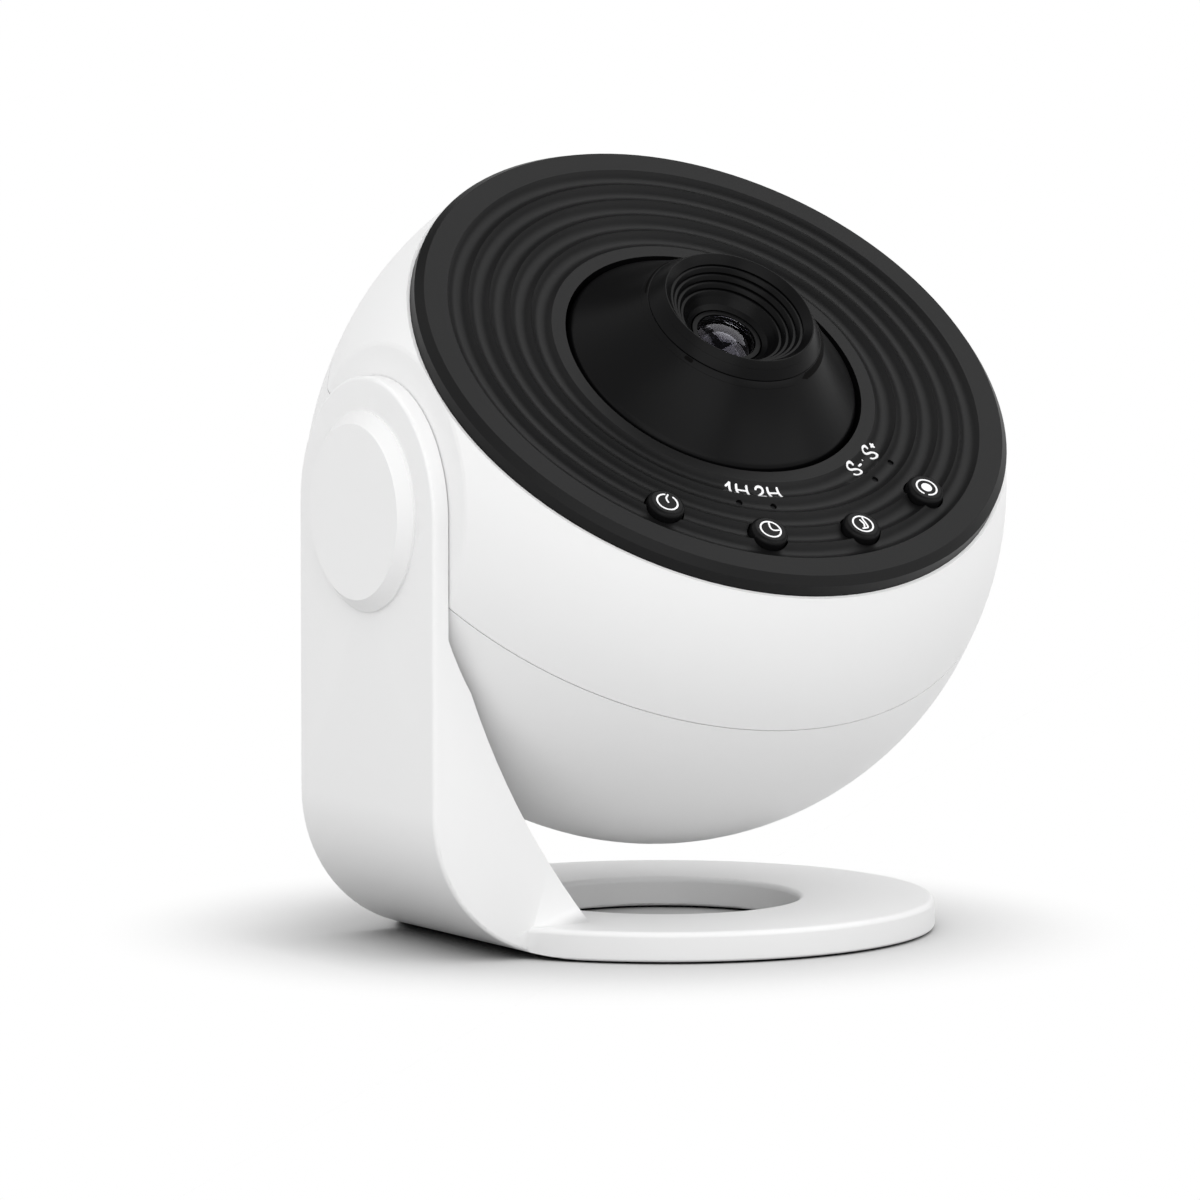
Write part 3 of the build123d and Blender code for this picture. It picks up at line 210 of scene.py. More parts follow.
def noiseNode(tree, vector, scale, detail=2.0, roughness=0.5):
    node = tree.nodes.new("ShaderNodeTexNoise")
    node.inputs["Detail"].default_value = detail
    node.inputs["Roughness"].default_value = roughness
    tree.links.new(vector, node.inputs["Vector"])
    if isinstance(scale, (int, float)):
        node.inputs["Scale"].default_value = scale
    else:
        tree.links.new(scale, node.inputs["Scale"])
    return node.outputs["Fac"]


def makeMouldedGroup():
    # fine spark-eroded grain of a moulded surface, and a slow drift of tone and gloss over it
    group, source, sink = newGroup(
        "mouldedSurface",
        [("Vector", "NodeSocketVector", None), ("Color", "NodeSocketColor", (0.8, 0.8, 0.8, 1)),
         ("Grain Scale", "NodeSocketFloat", 2600.0), ("Drift", "NodeSocketFloat", 0.02),
         ("Roughness", "NodeSocketFloat", 0.4), ("Roughness Drift", "NodeSocketFloat", 0.05)],
        [("Color", "NodeSocketColor"), ("Roughness", "NodeSocketFloat"), ("Height", "NodeSocketFloat")])
    grain = noiseNode(group, source.outputs["Vector"], source.outputs["Grain Scale"], 3.0, 0.6)
    slow = noiseNode(group, source.outputs["Vector"], 38.0, 2.0)
    centred = mathNode(group, "SUBTRACT", slow, 0.5)
    tone = mathNode(group, "ADD", mathNode(group, "MULTIPLY", centred, source.outputs["Drift"]), 1.0)
    scaled = group.nodes.new("ShaderNodeVectorMath")
    scaled.operation = "SCALE"
    group.links.new(source.outputs["Color"], scaled.inputs[0])
    group.links.new(tone, scaled.inputs["Scale"])
    gloss = mathNode(group, "ADD", mathNode(group, "MULTIPLY", centred, source.outputs["Roughness Drift"]),
                     source.outputs["Roughness"], clamp=True)
    group.links.new(scaled.outputs["Vector"], sink.inputs["Color"])
    group.links.new(gloss, sink.inputs["Roughness"])
    group.links.new(grain, sink.inputs["Height"])
    return group


def makeBrushedGroup():
    # long scratches along one direction of the object, as on rolled or turned metal
    group, source, sink = newGroup(
        "brushedSurface",
        [("Vector", "NodeSocketVector", None), ("Color", "NodeSocketColor", (0.6, 0.6, 0.6, 1)),
         ("Roughness", "NodeSocketFloat", 0.3)],
        [("Color", "NodeSocketColor"), ("Roughness", "NodeSocketFloat"), ("Height", "NodeSocketFloat")])
    stretch = group.nodes.new("ShaderNodeMapping")
    stretch.inputs["Scale"].default_value = (180.0, 2600.0, 2600.0)
    group.links.new(source.outputs["Vector"], stretch.inputs["Vector"])
    lines = noiseNode(group, stretch.outputs["Vector"], 1.0, 3.0, 0.7)
    tone = mathNode(group, "ADD", mathNode(group, "MULTIPLY", lines, 0.18), 0.91)
    scaled = group.nodes.new("ShaderNodeVectorMath")
    scaled.operation = "SCALE"
    group.links.new(source.outputs["Color"], scaled.inputs[0])
    group.links.new(tone, scaled.inputs["Scale"])
    gloss = mathNode(group, "ADD", mathNode(group, "MULTIPLY", mathNode(group, "SUBTRACT", lines, 0.5), 0.25),
                     source.outputs["Roughness"], clamp=True)
    group.links.new(scaled.outputs["Vector"], sink.inputs["Color"])
    group.links.new(gloss, sink.inputs["Roughness"])
    group.links.new(lines, sink.inputs["Height"])
    return group


mouldedSurface = makeMouldedGroup()
brushedSurface = makeBrushedGroup()


def startMaterial(name, finish):
    material = bpy.data.materials.new(name)
    material.use_nodes = True
    tree = material.node_tree
    shader = tree.nodes["Principled BSDF"]
    for title, value in finish.get("sockets", {}).items():
        shader.inputs[title].default_value = value
    shader.inputs["Metallic"].default_value = finish.get("metallic", 0.0)
    place = tree.nodes.new("ShaderNodeTexCoord").outputs["Object"]
    material.diffuse_color = (*finish["color"], 1)
    return material, tree, shader, place


def bumpInto(tree, shader, height, distance, strength=1.0):
    bump = tree.nodes.new("ShaderNodeBump")
    bump.inputs["Distance"].default_value = distance
    bump.inputs["Strength"].default_value = strength
    tree.links.new(height, bump.inputs["Height"])
    tree.links.new(bump.outputs["Normal"], shader.inputs["Normal"])
    return bump


def mouldedPlastic(name, finish):
    material, tree, shader, place = startMaterial(name, finish)
    surface = tree.nodes.new("ShaderNodeGroup")
    surface.node_tree = mouldedSurface
    surface.inputs["Color"].default_value = (*finish["color"], 1)
    surface.inputs["Grain Scale"].default_value = finish.get("grainScale", 2600.0)
    surface.inputs["Drift"].default_value = finish["drift"]
    surface.inputs["Roughness"].default_value = finish["roughness"]
    surface.inputs["Roughness Drift"].default_value = 0.05
    tree.links.new(place, surface.inputs["Vector"])
    tree.links.new(surface.outputs["Color"], shader.inputs["Base Color"])
    tree.links.new(surface.outputs["Roughness"], shader.inputs["Roughness"])
    bumpInto(tree, shader, surface.outputs["Height"], 0.00002, finish["grain"])
    return material


def metal(name, finish):
    material, tree, shader, place = startMaterial(name, {**finish, "metallic": 1.0})
    surface = tree.nodes.new("ShaderNodeGroup")
    surface.node_tree = brushedSurface
    surface.inputs["Color"].default_value = (*finish["color"], 1)
    surface.inputs["Roughness"].default_value = finish["roughness"]
    tree.links.new(place, surface.inputs["Vector"])
    tree.links.new(surface.outputs["Color"], shader.inputs["Base Color"])
    tree.links.new(surface.outputs["Roughness"], shader.inputs["Roughness"])
    bumpInto(tree, shader, surface.outputs["Height"], 0.00001, 0.4)
    return material


dustSizes = {"scale": 900.0, "least": 0.45, "roughness": 0.12}


def coatedGlass(name, finish):
    # clear glass with a thin coloured coating; faint dust lifts its gloss a little in places
    material, tree, shader, place = startMaterial(name, finish)
    dust = noiseNode(tree, place, dustSizes["scale"], 4.0, 0.7)
    gloss = mathNode(tree, "MULTIPLY", mathNode(
        tree, "SUBTRACT", dust, dustSizes["least"], clamp=True), dustSizes["roughness"])
    tree.links.new(gloss, shader.inputs["Roughness"])
    shader.inputs["Base Color"].default_value = (*finish["color"], 1)
    return material


def circuitBoard(name, finish):
    # solder mask over copper tracks: the tracks are bands of a stepped pattern, seen as a lighter green
    material, tree, shader, place = startMaterial(name, finish)
    bricks = tree.nodes.new("ShaderNodeTexBrick")
    bricks.inputs["Color1"].default_value = (*finish["color"], 1)
    bricks.inputs["Color2"].default_value = (*finish["trackColor"], 1)
    bricks.inputs["Mortar"].default_value = (*finish["gapColor"], 1)
    bricks.inputs["Scale"].default_value = finish["trackScale"]
    bricks.inputs["Mortar Size"].default_value = 0.03
    tree.links.new(place, bricks.inputs["Vector"])
    tree.links.new(bricks.outputs["Color"], shader.inputs["Base Color"])
    shader.inputs["Roughness"].default_value = finish["roughness"]
    bumpInto(tree, shader, bricks.outputs["Fac"], 0.00003, 0.5)
    return material


def starFilm(name, finish):
    # a printed film: a band of dim cloud across the disc, with fine and coarse stars on black
    material, tree, shader, place = startMaterial(name, finish)
    cloud = noiseNode(tree, place, 110.0, 6.0, 0.6)
    band = tree.nodes.new("ShaderNodeValToRGB")
    band.color_ramp.elements[0].position = finish["cloudFrom"]
    band.color_ramp.elements[0].color = (*finish["color"], 1)
    band.color_ramp.elements[1].position = finish["cloudTo"]
    band.color_ramp.elements[1].color = (*finish["cloudColor"], 1)
    tree.links.new(cloud, band.inputs["Fac"])
    colour = band.outputs["Color"]
    for scale, size in finish["stars"]:
        cells = tree.nodes.new("ShaderNodeTexVoronoi")
        cells.inputs["Scale"].default_value = scale
        tree.links.new(place, cells.inputs["Vector"])
        star = mathNode(tree, "LESS_THAN", cells.outputs["Distance"], size)
        mix = tree.nodes.new("ShaderNodeMix")
        mix.data_type = "RGBA"
        mix.inputs["B"].default_value = (0.9, 0.92, 1.0, 1)
        tree.links.new(star, mix.inputs["Factor"])
        tree.links.new(colour, mix.inputs["A"])
        colour = mix.outputs["Result"]
    tree.links.new(colour, shader.inputs["Base Color"])
    shader.inputs["Roughness"].default_value = finish["roughness"]
    return material


plasticSpecular = {"IOR": 1.5}
faceSpecular = {"IOR": 1.5, "Specular IOR Level": 0.15}
blackSpecular = {"IOR": 1.5, "Specular IOR Level": 0.09}
finishes = {
    "white_shell": (mouldedPlastic, {"color": (0.86, 0.86, 0.86), "roughness": 0.42, "grain": 0.15,
                                     "drift": 0.012, "sockets": plasticSpecular}),
    "black_face": (mouldedPlastic, {"color": (0.004, 0.004, 0.0042), "roughness": 0.4, "grain": 0.3,
                                    "drift": 0.15, "sockets": faceSpecular}),
    "black_part": (mouldedPlastic, {"color": (0.0018, 0.0018, 0.002), "roughness": 0.31, "grain": 0.2,
                                    "drift": 0.15, "sockets": blackSpecular}),
    "button_black": (mouldedPlastic, {"color": (0.005, 0.005, 0.0053), "roughness": 0.33, "grain": 0.2,
                                      "drift": 0.1, "sockets": blackSpecular}),
    "foot_rubber": (mouldedPlastic, {"color": (0.06, 0.06, 0.06), "roughness": 0.8, "grain": 0.8,
                                     "grainScale": 1500.0, "drift": 0.2, "sockets": {"IOR": 1.45}}),
    "inner_plastic": (mouldedPlastic, {"color": (0.22, 0.23, 0.24), "roughness": 0.5, "grain": 0.6,
                                       "drift": 0.1, "sockets": plasticSpecular}),
    "slide_plastic": (mouldedPlastic, {"color": (0.62, 0.61, 0.56), "roughness": 0.38, "grain": 0.2,
                                       "drift": 0.05, "sockets": plasticSpecular}),
    "led_yellow": (mouldedPlastic, {"color": (0.85, 0.62, 0.12), "roughness": 0.2, "grain": 0.3,
                                    "drift": 0.1, "sockets": plasticSpecular}),
    "light_pipe": (mouldedPlastic, {"color": (0.02, 0.02, 0.021), "roughness": 0.15, "grain": 0.1,
                                    "drift": 0.1, "sockets": blackSpecular}),
    "steel": (metal, {"color": (0.55, 0.56, 0.58), "roughness": 0.32}),
    "brass_gear": (metal, {"color": (0.78, 0.58, 0.25), "roughness": 0.28}),
    "aluminium": (metal, {"color": (0.76, 0.77, 0.78), "roughness": 0.38}),
    "lens_glass": (coatedGlass, {"color": (0.75, 0.77, 0.85),
                                 "sockets": {"Transmission Weight": 1.0, "IOR": 1.52,
                                             "Specular IOR Level": 0.25,
                                             "Specular Tint": (0.4, 0.27, 0.5, 1.0)}}),
    "board": (circuitBoard, {"color": (0.012, 0.10, 0.045), "trackColor": (0.018, 0.15, 0.065),
                             "gapColor": (0.03, 0.22, 0.10), "trackScale": 260.0, "roughness": 0.35}),
    "film": (starFilm, {"color": (0.004, 0.005, 0.012), "cloudColor": (0.05, 0.03, 0.11),
                        "cloudFrom": 0.46, "cloudTo": 0.74,
                        "stars": ((900.0, 0.16), (340.0, 0.11)), "roughness": 0.12}),
}
materials = {slot: build(slot, finish) for slot, (build, finish) in finishes.items()}
slotOf = {part["node"]: part["material_slot"] for part in frame["record"]["subparts"]}
for nodeName, node in nodes.items():
    node.data.materials.clear()
    node.data.materials.append(materials[slotOf[nodeName]])
print("finishes on", len(nodes), "nodes")


def surfaceInkAndShade(name, finish):
    # printed ink, also used for painted shade: a plain tone with fine specks where the plastic below shows a
    # little
    material, tree, shader, place = startMaterial(name, finish)
    speck = noiseNode(tree, place, 5200.0, 2.0, 0.6)
    spread = mathNode(tree, "MULTIPLY", speck, finish["speck"])
    tone = mathNode(tree, "ADD", spread, 1.0 - 0.5 * finish["speck"])
    scaled = tree.nodes.new("ShaderNodeVectorMath")
    scaled.operation = "SCALE"
    scaled.inputs[0].default_value = finish["color"]
    tree.links.new(tone, scaled.inputs["Scale"])
    tree.links.new(scaled.outputs["Vector"], shader.inputs["Base Color"])
    shader.inputs["Roughness"].default_value = finish["roughness"]
    return material


ink = surfaceInkAndShade("whiteInk", {"color": (0.86, 0.86, 0.87), "speck": 0.08, "roughness": 0.55})
# the same dark tone inlays the turning arrow and paints the shade in the cover's notch and groove
inlayAndShade = surfaceInkAndShade("darkInlayAndShade", {"color": (0.0016, 0.0014, 0.0013), "speck": 0.3, "roughness": 0.6,
                                 "sockets": {"Specular IOR Level": 0.04}})


# The focus ring: cone outside, thin lip, and a stepped light baffle down to the funnel round the lens.
ringSizes = {
    "foot": (15.53, 41.97), "lipOuter": (13.45, 44.6), "lipTop": (13.25, 44.6), "lipInner": (13.0, 44.35),
    "edges": 5, "firstEdge": (11.95, 43.35), "edgeStep": 0.95, "edgeFace": 0.7, "edgeBevel": 0.5,
    "edgeHollow": 0.35, "funnel": [(7.25, 38.45), (6.4, 37.9), (6.4, 37.5)],
    "thread": (8.2, 31.0), "skirt": (9.4, 37.0), "neck": 13.2, "clipGroove": (12.4, 37.45, 38.15),
    "cornerRound": 0.05,
}


def focusRingProfile(sizes):
    radius, height = sizes["firstEdge"]
    outline = [(sizes["neck"], sizes["foot"][1]), sizes["foot"], sizes["lipOuter"], sizes["lipTop"],
               sizes["lipInner"], (radius, height)]
    for i in range(1, sizes["edges"]):
        edge, level = radius - i * sizes["edgeStep"], height - i * sizes["edgeStep"]
        above = level + sizes["edgeFace"]
        outline += [(edge + sizes["edgeStep"] + sizes["edgeHollow"], above), (edge + sizes["edgeBevel"], above),
                    (edge, level)]
    bore, bottom = sizes["thread"]
    wall, shelf = sizes["skirt"]
    groove, grooveLow, grooveHigh = sizes["clipGroove"]
    outline += sizes["funnel"]
    outline += [(bore, sizes["funnel"][-1][1]), (bore, bottom), (wall, bottom), (wall, shelf),
                (sizes["neck"], shelf), (sizes["neck"], grooveLow), (groove, grooveLow), (groove, grooveHigh),
                (sizes["neck"], grooveHigh)]
    return softCorners(outline, sizes["cornerRound"])


focusRing = addPiece("focusRing", [turned(focusRingProfile(ringSizes), facePoints, 220)], "ring",
                     materials["black_part"])
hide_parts("focus_ring")

# The cover's rim carries the cone on up to the seam of the focus ring.
rimSizes = {"bore": 13.3, "foot": (16.5, 40.95), "top": (15.65, 41.85), "cornerRound": 0.06}
rimOutline = [(rimSizes["bore"], rimSizes["foot"][1]), rimSizes["foot"], rimSizes["top"],
              (rimSizes["bore"], rimSizes["top"][1])]
addPiece("coverRim", [turned(softCorners(rimOutline, rimSizes["cornerRound"]), facePoints, 220)], "cover",
         materials["black_part"])

# The barrel's nose and the front lens, which stand up inside the funnel.
noseSizes = {"outer": 6.2, "bore": 5.25, "bottom": 36.2, "top": 37.9, "cornerRound": 0.12}
noseOutline = [(noseSizes["bore"], noseSizes["bottom"]), (noseSizes["outer"], noseSizes["bottom"]),
               (noseSizes["outer"], noseSizes["top"]), (noseSizes["bore"], noseSizes["top"])]
addPiece("barrelNose", [turned(softCorners(noseOutline, noseSizes["cornerRound"]), facePoints, 120)], "barrel",
         materials["black_part"])

lensSizes = {"rim": 5.7, "bottom": 33.2, "shoulder": 35.3, "neck": 5.05, "neckTop": 36.25, "edge": 5.2,
             "neckRise": 0.15, "edgeHeight": 37.7, "rise": 1.4, "hollow": 4.4, "hollowHeight": 35.2,
             "hollowRise": 1.6}
lensDome = domeProfile(lensSizes["edge"], lensSizes["edgeHeight"], lensSizes["rise"], 24)
lensHollow = domeProfile(lensSizes["hollow"], lensSizes["hollowHeight"], lensSizes["hollowRise"], 24)[::-1]
lensOutline = np.concatenate([lensDome, [
    (lensSizes["edge"], lensSizes["neckTop"]),
    (lensSizes["neck"], lensSizes["neckTop"] - lensSizes["neckRise"]),
    (lensSizes["neck"], lensSizes["shoulder"]), (lensSizes["rim"], lensSizes["shoulder"]),
    (lensSizes["rim"], lensSizes["bottom"]), (lensSizes["hollow"], lensSizes["bottom"])], lensHollow])
frontLens = addPiece("frontLens", [turned(lensOutline, facePoints, 120, closed=False)], "barrel",
                     coatedGlass("frontGlass", {"color": (0.6, 0.6, 0.66), "sockets": {
                         "Transmission Weight": 1.0, "IOR": 1.6, "Specular IOR Level": 0.3,
                         "Specular Tint": (0.4, 0.38, 0.45, 1.0)}}))
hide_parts("front_lens")
print("focus ring and front lens made")


# Heights of the face's surfaces, in mm ahead of the pivot, as functions of the place in the face.
coveSizes = {"firstCrest": 29.35, "pitch": 3.78, "crestHeight": 31.5, "crestRise": 0.12, "depth": 0.75}
buttonTop = 32.9


def coveHeight(x, v):
    # each cove is an arc between two crests: chord height less the arc's sag at that radius
    place = (np.hypot(x, v) - coveSizes["firstCrest"]) / coveSizes["pitch"]
    fromMiddle = (place - np.floor(place) - 0.5) * coveSizes["pitch"]
    half, depth = coveSizes["pitch"] / 2, coveSizes["depth"]
    arc = (half ** 2 + depth ** 2) / (2 * depth)
    chord = coveSizes["crestHeight"] + coveSizes["crestRise"] * place
    inCove = chord - depth + arc - np.sqrt(arc ** 2 - fromMiddle ** 2)
    return np.where(place < 0, coveSizes["crestHeight"], inCove)


def slopeHeight(low, high):
    # straight cone between two (radius, height) points
    def height(x, v):
        share = (low[0] - np.hypot(x, v)) / (low[0] - high[0])
        return low[1] + share * (high[1] - low[1])
    return height


def flatHeight(level):
    return lambda x, v: np.full(np.shape(x), level)


def around(centre):
    # facePoints with x and v counted from a centre in the face
    return lambda x, v, d: facePoints(x + centre[0], v + centre[1], d)


rimHeight = slopeHeight(rimSizes["foot"], rimSizes["top"])
ringHeight = slopeHeight(ringSizes["foot"], ringSizes["lipOuter"])

# Printed marks of the four buttons: centres on one circle, strokes relative to each centre.
iconSizes = {"circle": 42.6, "radius": 1.82, "stroke": 0.31, "dot": 0.98, "sink": 0.06, "proud": 0.035,
             "lineProud": 0.031, "layer": 0.004}
icons = {
    "power": {"angle": -127.35, "ring": (76, 397),
              "lines": [[(0.95, 1.72), (0.3, 1.05), (0.12, 0.55), (0.17, -0.25)]]},
    "timer": {"angle": -102.45, "ring": None,
              "lines": [[(0.46, 1.8), (0.29, 1.36), (0.12, 0.57), (0.23, -0.03), (0.67, -0.32), (1.6, -0.34)]]},
    "motion": {"angle": -77.55, "ring": None,
               "lines": [[(0.6, 1.65), (0.5, 1.04), (0.62, 0.2), (0.67, -0.59), (0.41, -0.95), (-0.6, -1.05)],
                         [(-0.21, 1.09), (0.1, 0.3), (0.18, -0.15), (-0.1, -0.85)]]},
    "light": {"angle": -52.65, "ring": (-108, 232), "lines": [], "dot": True},
}
for name, icon in icons.items():
    angle = math.radians(icon["angle"])
    centre = iconSizes["circle"] * np.array([math.cos(angle), math.sin(angle)])
    top = flatHeight(buttonTop)
    closed = icon["ring"] is None
    start, end = icon["ring"] or (0, 360)
    path = alongArc(iconSizes["radius"], start, end, 0.06)
    path = path[:-1] if closed else path
    parts = [strokeBand(path + centre, iconSizes["stroke"], top, closed=closed)]
    for i, line in enumerate(icon["lines"]):
        proud = iconSizes["lineProud"] - iconSizes["layer"] * i  # crossing strokes never share a face
        parts.append(strokeBand(alongCurve(line, 0.05) + centre, iconSizes["stroke"], top, proud=proud))
    if icon.get("dot"):
        dotLow, dotHigh = buttonTop - iconSizes["sink"], buttonTop + iconSizes["proud"]
        dot = [(0.0, dotHigh), (iconSizes["dot"], dotHigh), (iconSizes["dot"], dotLow), (0.0, dotLow)]
        parts.append(turned(dot, around(centre), 48, closed=False))
    addPiece("icon_" + name, parts, name + "_key", ink)
print("button marks made")

# Dial letters in the innermost cove, upright towards the middle: x across and y up, in letter heights.
letters = {
    "one": [("line", [(-0.3, 0.62), (0.0, 1.0), (0.0, 0.0)])],
    "two": [("curve", [(-0.27, 0.72), (-0.19, 0.93), (0.01, 1.0), (0.22, 0.92), (0.27, 0.72), (0.17, 0.48),
                       (-0.05, 0.25), (-0.28, 0.0)]), ("line", [(-0.28, 0.0), (0.3, 0.0)])],
    "hour": [("line", [(-0.37, 0.0), (-0.37, 1.0)]), ("line", [(0.37, 0.0), (0.37, 1.0)]),
             ("line", [(-0.37, 0.5), (0.37, 0.5)])],
    "speed": [("curve", [(0.29, 0.7), (0.24, 0.88), (0.06, 1.0), (-0.17, 0.97), (-0.28, 0.8), (-0.2, 0.61),
                         (0.02, 0.51), (0.22, 0.41), (0.3, 0.22), (0.17, 0.04), (-0.07, 0.0), (-0.27, 0.1),
                         (-0.33, 0.29)])],
    "minus": [("line", [(-0.2, 0.42), (0.2, 0.42)])],
    "plus": [("line", [(-0.22, 0.47), (0.22, 0.47)]), ("line", [(0.0, 0.25), (0.0, 0.69)])],
    "point": [("line", [(-0.04, 0.5), (0.04, 0.5)])],
}
labelSizes = {
    "stroke": 0.4, "sink": 0.1, "proud": 0.1, "layer": 0.004,
    # letter, angle of its middle, radius of its foot, height
    "timerLabels": [("one", -110.0, 32.7, 2.6), ("hour", -105.93, 32.7, 2.6), ("two", -99.9, 32.7, 2.55),
                    ("hour", -95.1, 32.7, 2.6)],
    "speedLabels": [("speed", -60.0, 32.3, 2.85), ("minus", -56.24, 32.0, 2.5), ("point", -53.5, 31.9, 2.5),
                    ("speed", -48.6, 32.2, 2.85), ("plus", -44.4, 31.7, 2.6)],
}


def letterParts(sizes, row):
    parts = []
    for letter, angle, foot, height in sizes[row]:
        for i, (kind, corners) in enumerate(letters[letter]):
            along = alongLine if kind == "line" else alongCurve
            path = along(np.array(corners) * height, 0.06)
            # up the letter is towards the middle of the face, across it is round the face
            radius, turn = foot - path[:, 1], math.radians(angle) + path[:, 0] / (foot - height / 2)
            place = np.stack([radius * np.cos(turn), radius * np.sin(turn)], -1)
            parts.append(strokeBand(place, sizes["stroke"], coveHeight, sink=sizes["sink"],
                                    proud=sizes["proud"] - sizes["layer"] * i))
    return parts


for name in ("timerLabels", "speedLabels"):
    addPiece(name, letterParts(labelSizes, name), "head", ink, 50.0)
print("dial letters made")

# Turning arrow inlaid below the seam, a raised index line, and flat dark strips of painted shade where a notch and
# a groove lie beside them.
arrowSizes = {"radius": 16.15, "width": 0.8, "from": -10.0, "to": -60.0, "proud": 0.028,
              "headLength": 1.5, "headWidth": 1.5, "headSpread": 0.62, "headSink": 0.06, "headProud": 0.03,
              "lineRadius": 14.35, "lineWidth": 0.1, "lineFrom": -172.0, "lineTo": -62.0, "lineProud": 0.03,
              "notchRadius": 15.95, "notchWidth": 0.45, "notchFrom": -149.0, "notchTo": -143.0,
              "grooveRadius": 15.95, "grooveWidth": 0.22, "grooveFrom": 112.0, "grooveTo": 152.0}


def arrowHead(sizes):
    # wedge whose width falls from headWidth to nothing along the arc, as one band of four-point rings
    turn = math.degrees(sizes["headLength"] / sizes["radius"])
    path = alongArc(sizes["radius"], sizes["to"], sizes["to"] - turn, 0.05)
    width = np.linspace(1.0, 0.04, len(path)) * sizes["headWidth"] / 2
    out = path / np.linalg.norm(path, axis=1, keepdims=True)
    spread = out * width[:, None] * sizes["headSpread"]
    outer, inner = path + spread, path - spread
    ring = np.stack([outer, inner, inner, outer], axis=1)
    x, v = ring[..., 0], ring[..., 1]
    low, high = -sizes["headSink"], sizes["headProud"]
    points = facePoints(x, v, rimHeight(x, v) + np.array([low, low, high, high]))
    last = 4 * (len(path) - 1)
    ends = [[3, 2, 1, 0], [last, last + 1, last + 2, last + 3]]
    return points, gridFaces(len(path), 4, closedCols=True) + ends


arrowBand = alongArc(arrowSizes["radius"], arrowSizes["from"], arrowSizes["to"], 0.1)
notchShadeStrip = alongArc(arrowSizes["notchRadius"], arrowSizes["notchFrom"], arrowSizes["notchTo"], 0.1)
groove = alongArc(arrowSizes["grooveRadius"], arrowSizes["grooveFrom"], arrowSizes["grooveTo"], 0.1)
indexLine = alongArc(arrowSizes["lineRadius"], arrowSizes["lineFrom"], arrowSizes["lineTo"], 0.1)
addPiece("turnArrow", [strokeBand(arrowBand, arrowSizes["width"], rimHeight, proud=arrowSizes["proud"]),
                       arrowHead(arrowSizes)], "cover", inlayAndShade)
# painted shade: flat dark strips stand in for the shade inside the notch and the groove
addPiece("coverPaintedShade", [strokeBand(notchShadeStrip, arrowSizes["notchWidth"], rimHeight),
                        strokeBand(groove, arrowSizes["grooveWidth"], rimHeight)], "cover", inlayAndShade)
addPiece("ringLine", [strokeBand(indexLine, arrowSizes["lineWidth"], ringHeight,
                                 proud=arrowSizes["lineProud"])], "ring", materials["black_part"])

# Gilt contacts on the tongue of the power inlet: flat strips side by side.
contactSizes = {"columns": [-2.5, -1.5, -0.5, 0.5, 1.5, 2.5], "width": 0.45, "from": 55.0, "to": 56.4,
                "bottom": 75.7, "top": 75.79}


def contactParts(sizes):
    # a box for each strip, its eight corners from a grid of the two limits along x, y and z
    parts = []
    for column in sizes["columns"]:
        x = column + sizes["width"] * np.array([-0.5, 0.5])
        y, z = np.array([sizes["from"], sizes["to"]]), np.array([sizes["bottom"], sizes["top"]])
        corners = np.stack(np.meshgrid(x, y, z, indexing="ij"), -1).reshape(-1, 3)
        parts.append((standPoints(*corners.T), [[0, 1, 3, 2], [4, 6, 7, 5], [0, 4, 5, 1], [2, 3, 7, 6],
                                                [0, 2, 6, 4], [1, 5, 7, 3]]))
    return parts


addPiece("inletContacts", contactParts(contactSizes), "head", materials["brass_gear"])
print("ring marks and inlet contacts made")

# The stand's foot: the arm's outer bend also ends the disc, and the rubber ring lies inside that line.
footSizes = {"centre": 2.3, "bendCentre": (-32.0, 25.6), "bendRadius": 25.22, "bendAround": 60, "reach": 62.0,
             "height": 150.0, "under": 0.38, "oldGroove": (35.9, 42.1), "oldGrooveHigh": 1.25,
             "groove": (28.0, 34.0), "ring": (28.05, 33.95), "grooveHigh": 1.2, "underside": 0.4}


def roundStand(x, y, z):
    return standPoints(x + footSizes["centre"], y, z)


def ringOutline(radii, low, high):
    return [(radii[0], low), (radii[1], low), (radii[1], high), (radii[0], high)]


def bendPrism(sizes):
    # the space inside the arm's outer bend: quarter arc, floor line and far corner, as a prism across
    angle = np.linspace(np.pi, 1.5 * np.pi, sizes["bendAround"])
    x = sizes["bendCentre"][0] + sizes["bendRadius"] * np.cos(angle)
    z = np.maximum(sizes["bendCentre"][1] + sizes["bendRadius"] * np.sin(angle), sizes["under"])
    x = np.concatenate([x, [sizes["reach"], sizes["reach"], x[0]]])
    z = np.concatenate([z, [sizes["under"], sizes["height"], sizes["height"]]])
    y = np.array([-sizes["reach"], sizes["reach"]])
    count = len(x)
    points = standPoints(x[None, :], y[:, None], z[None, :])
    ends = [list(range(count)), list(range(2 * count - 1, count - 1, -1))]
    return points, gridFaces(2, count, closedCols=True) + ends


def cutWith(piece, operation, name, part):
    tool = newMesh(name, [part])
    change = piece.modifiers.new(name, "BOOLEAN")
    change.operation, change.solver, change.object = operation, "EXACT", tool
    depsgraph = bpy.context.evaluated_depsgraph_get()
    result = bpy.data.meshes.new_from_object(piece.evaluated_get(depsgraph))
    piece.modifiers.clear()
    piece.data = result
    bpy.data.objects.remove(tool)


def mergedCopy(nodeName, name):
    mesh = nodes[nodeName].data.copy()
    mesh.materials.clear()
    work = bmesh.new()
    work.from_mesh(mesh)
    bmesh.ops.remove_doubles(work, verts=work.verts, dist=1e-6)
    work.to_mesh(mesh)
    work.free()
    piece = bpy.data.objects.new(name, mesh)
    bpy.context.scene.collection.objects.link(piece)
    return piece


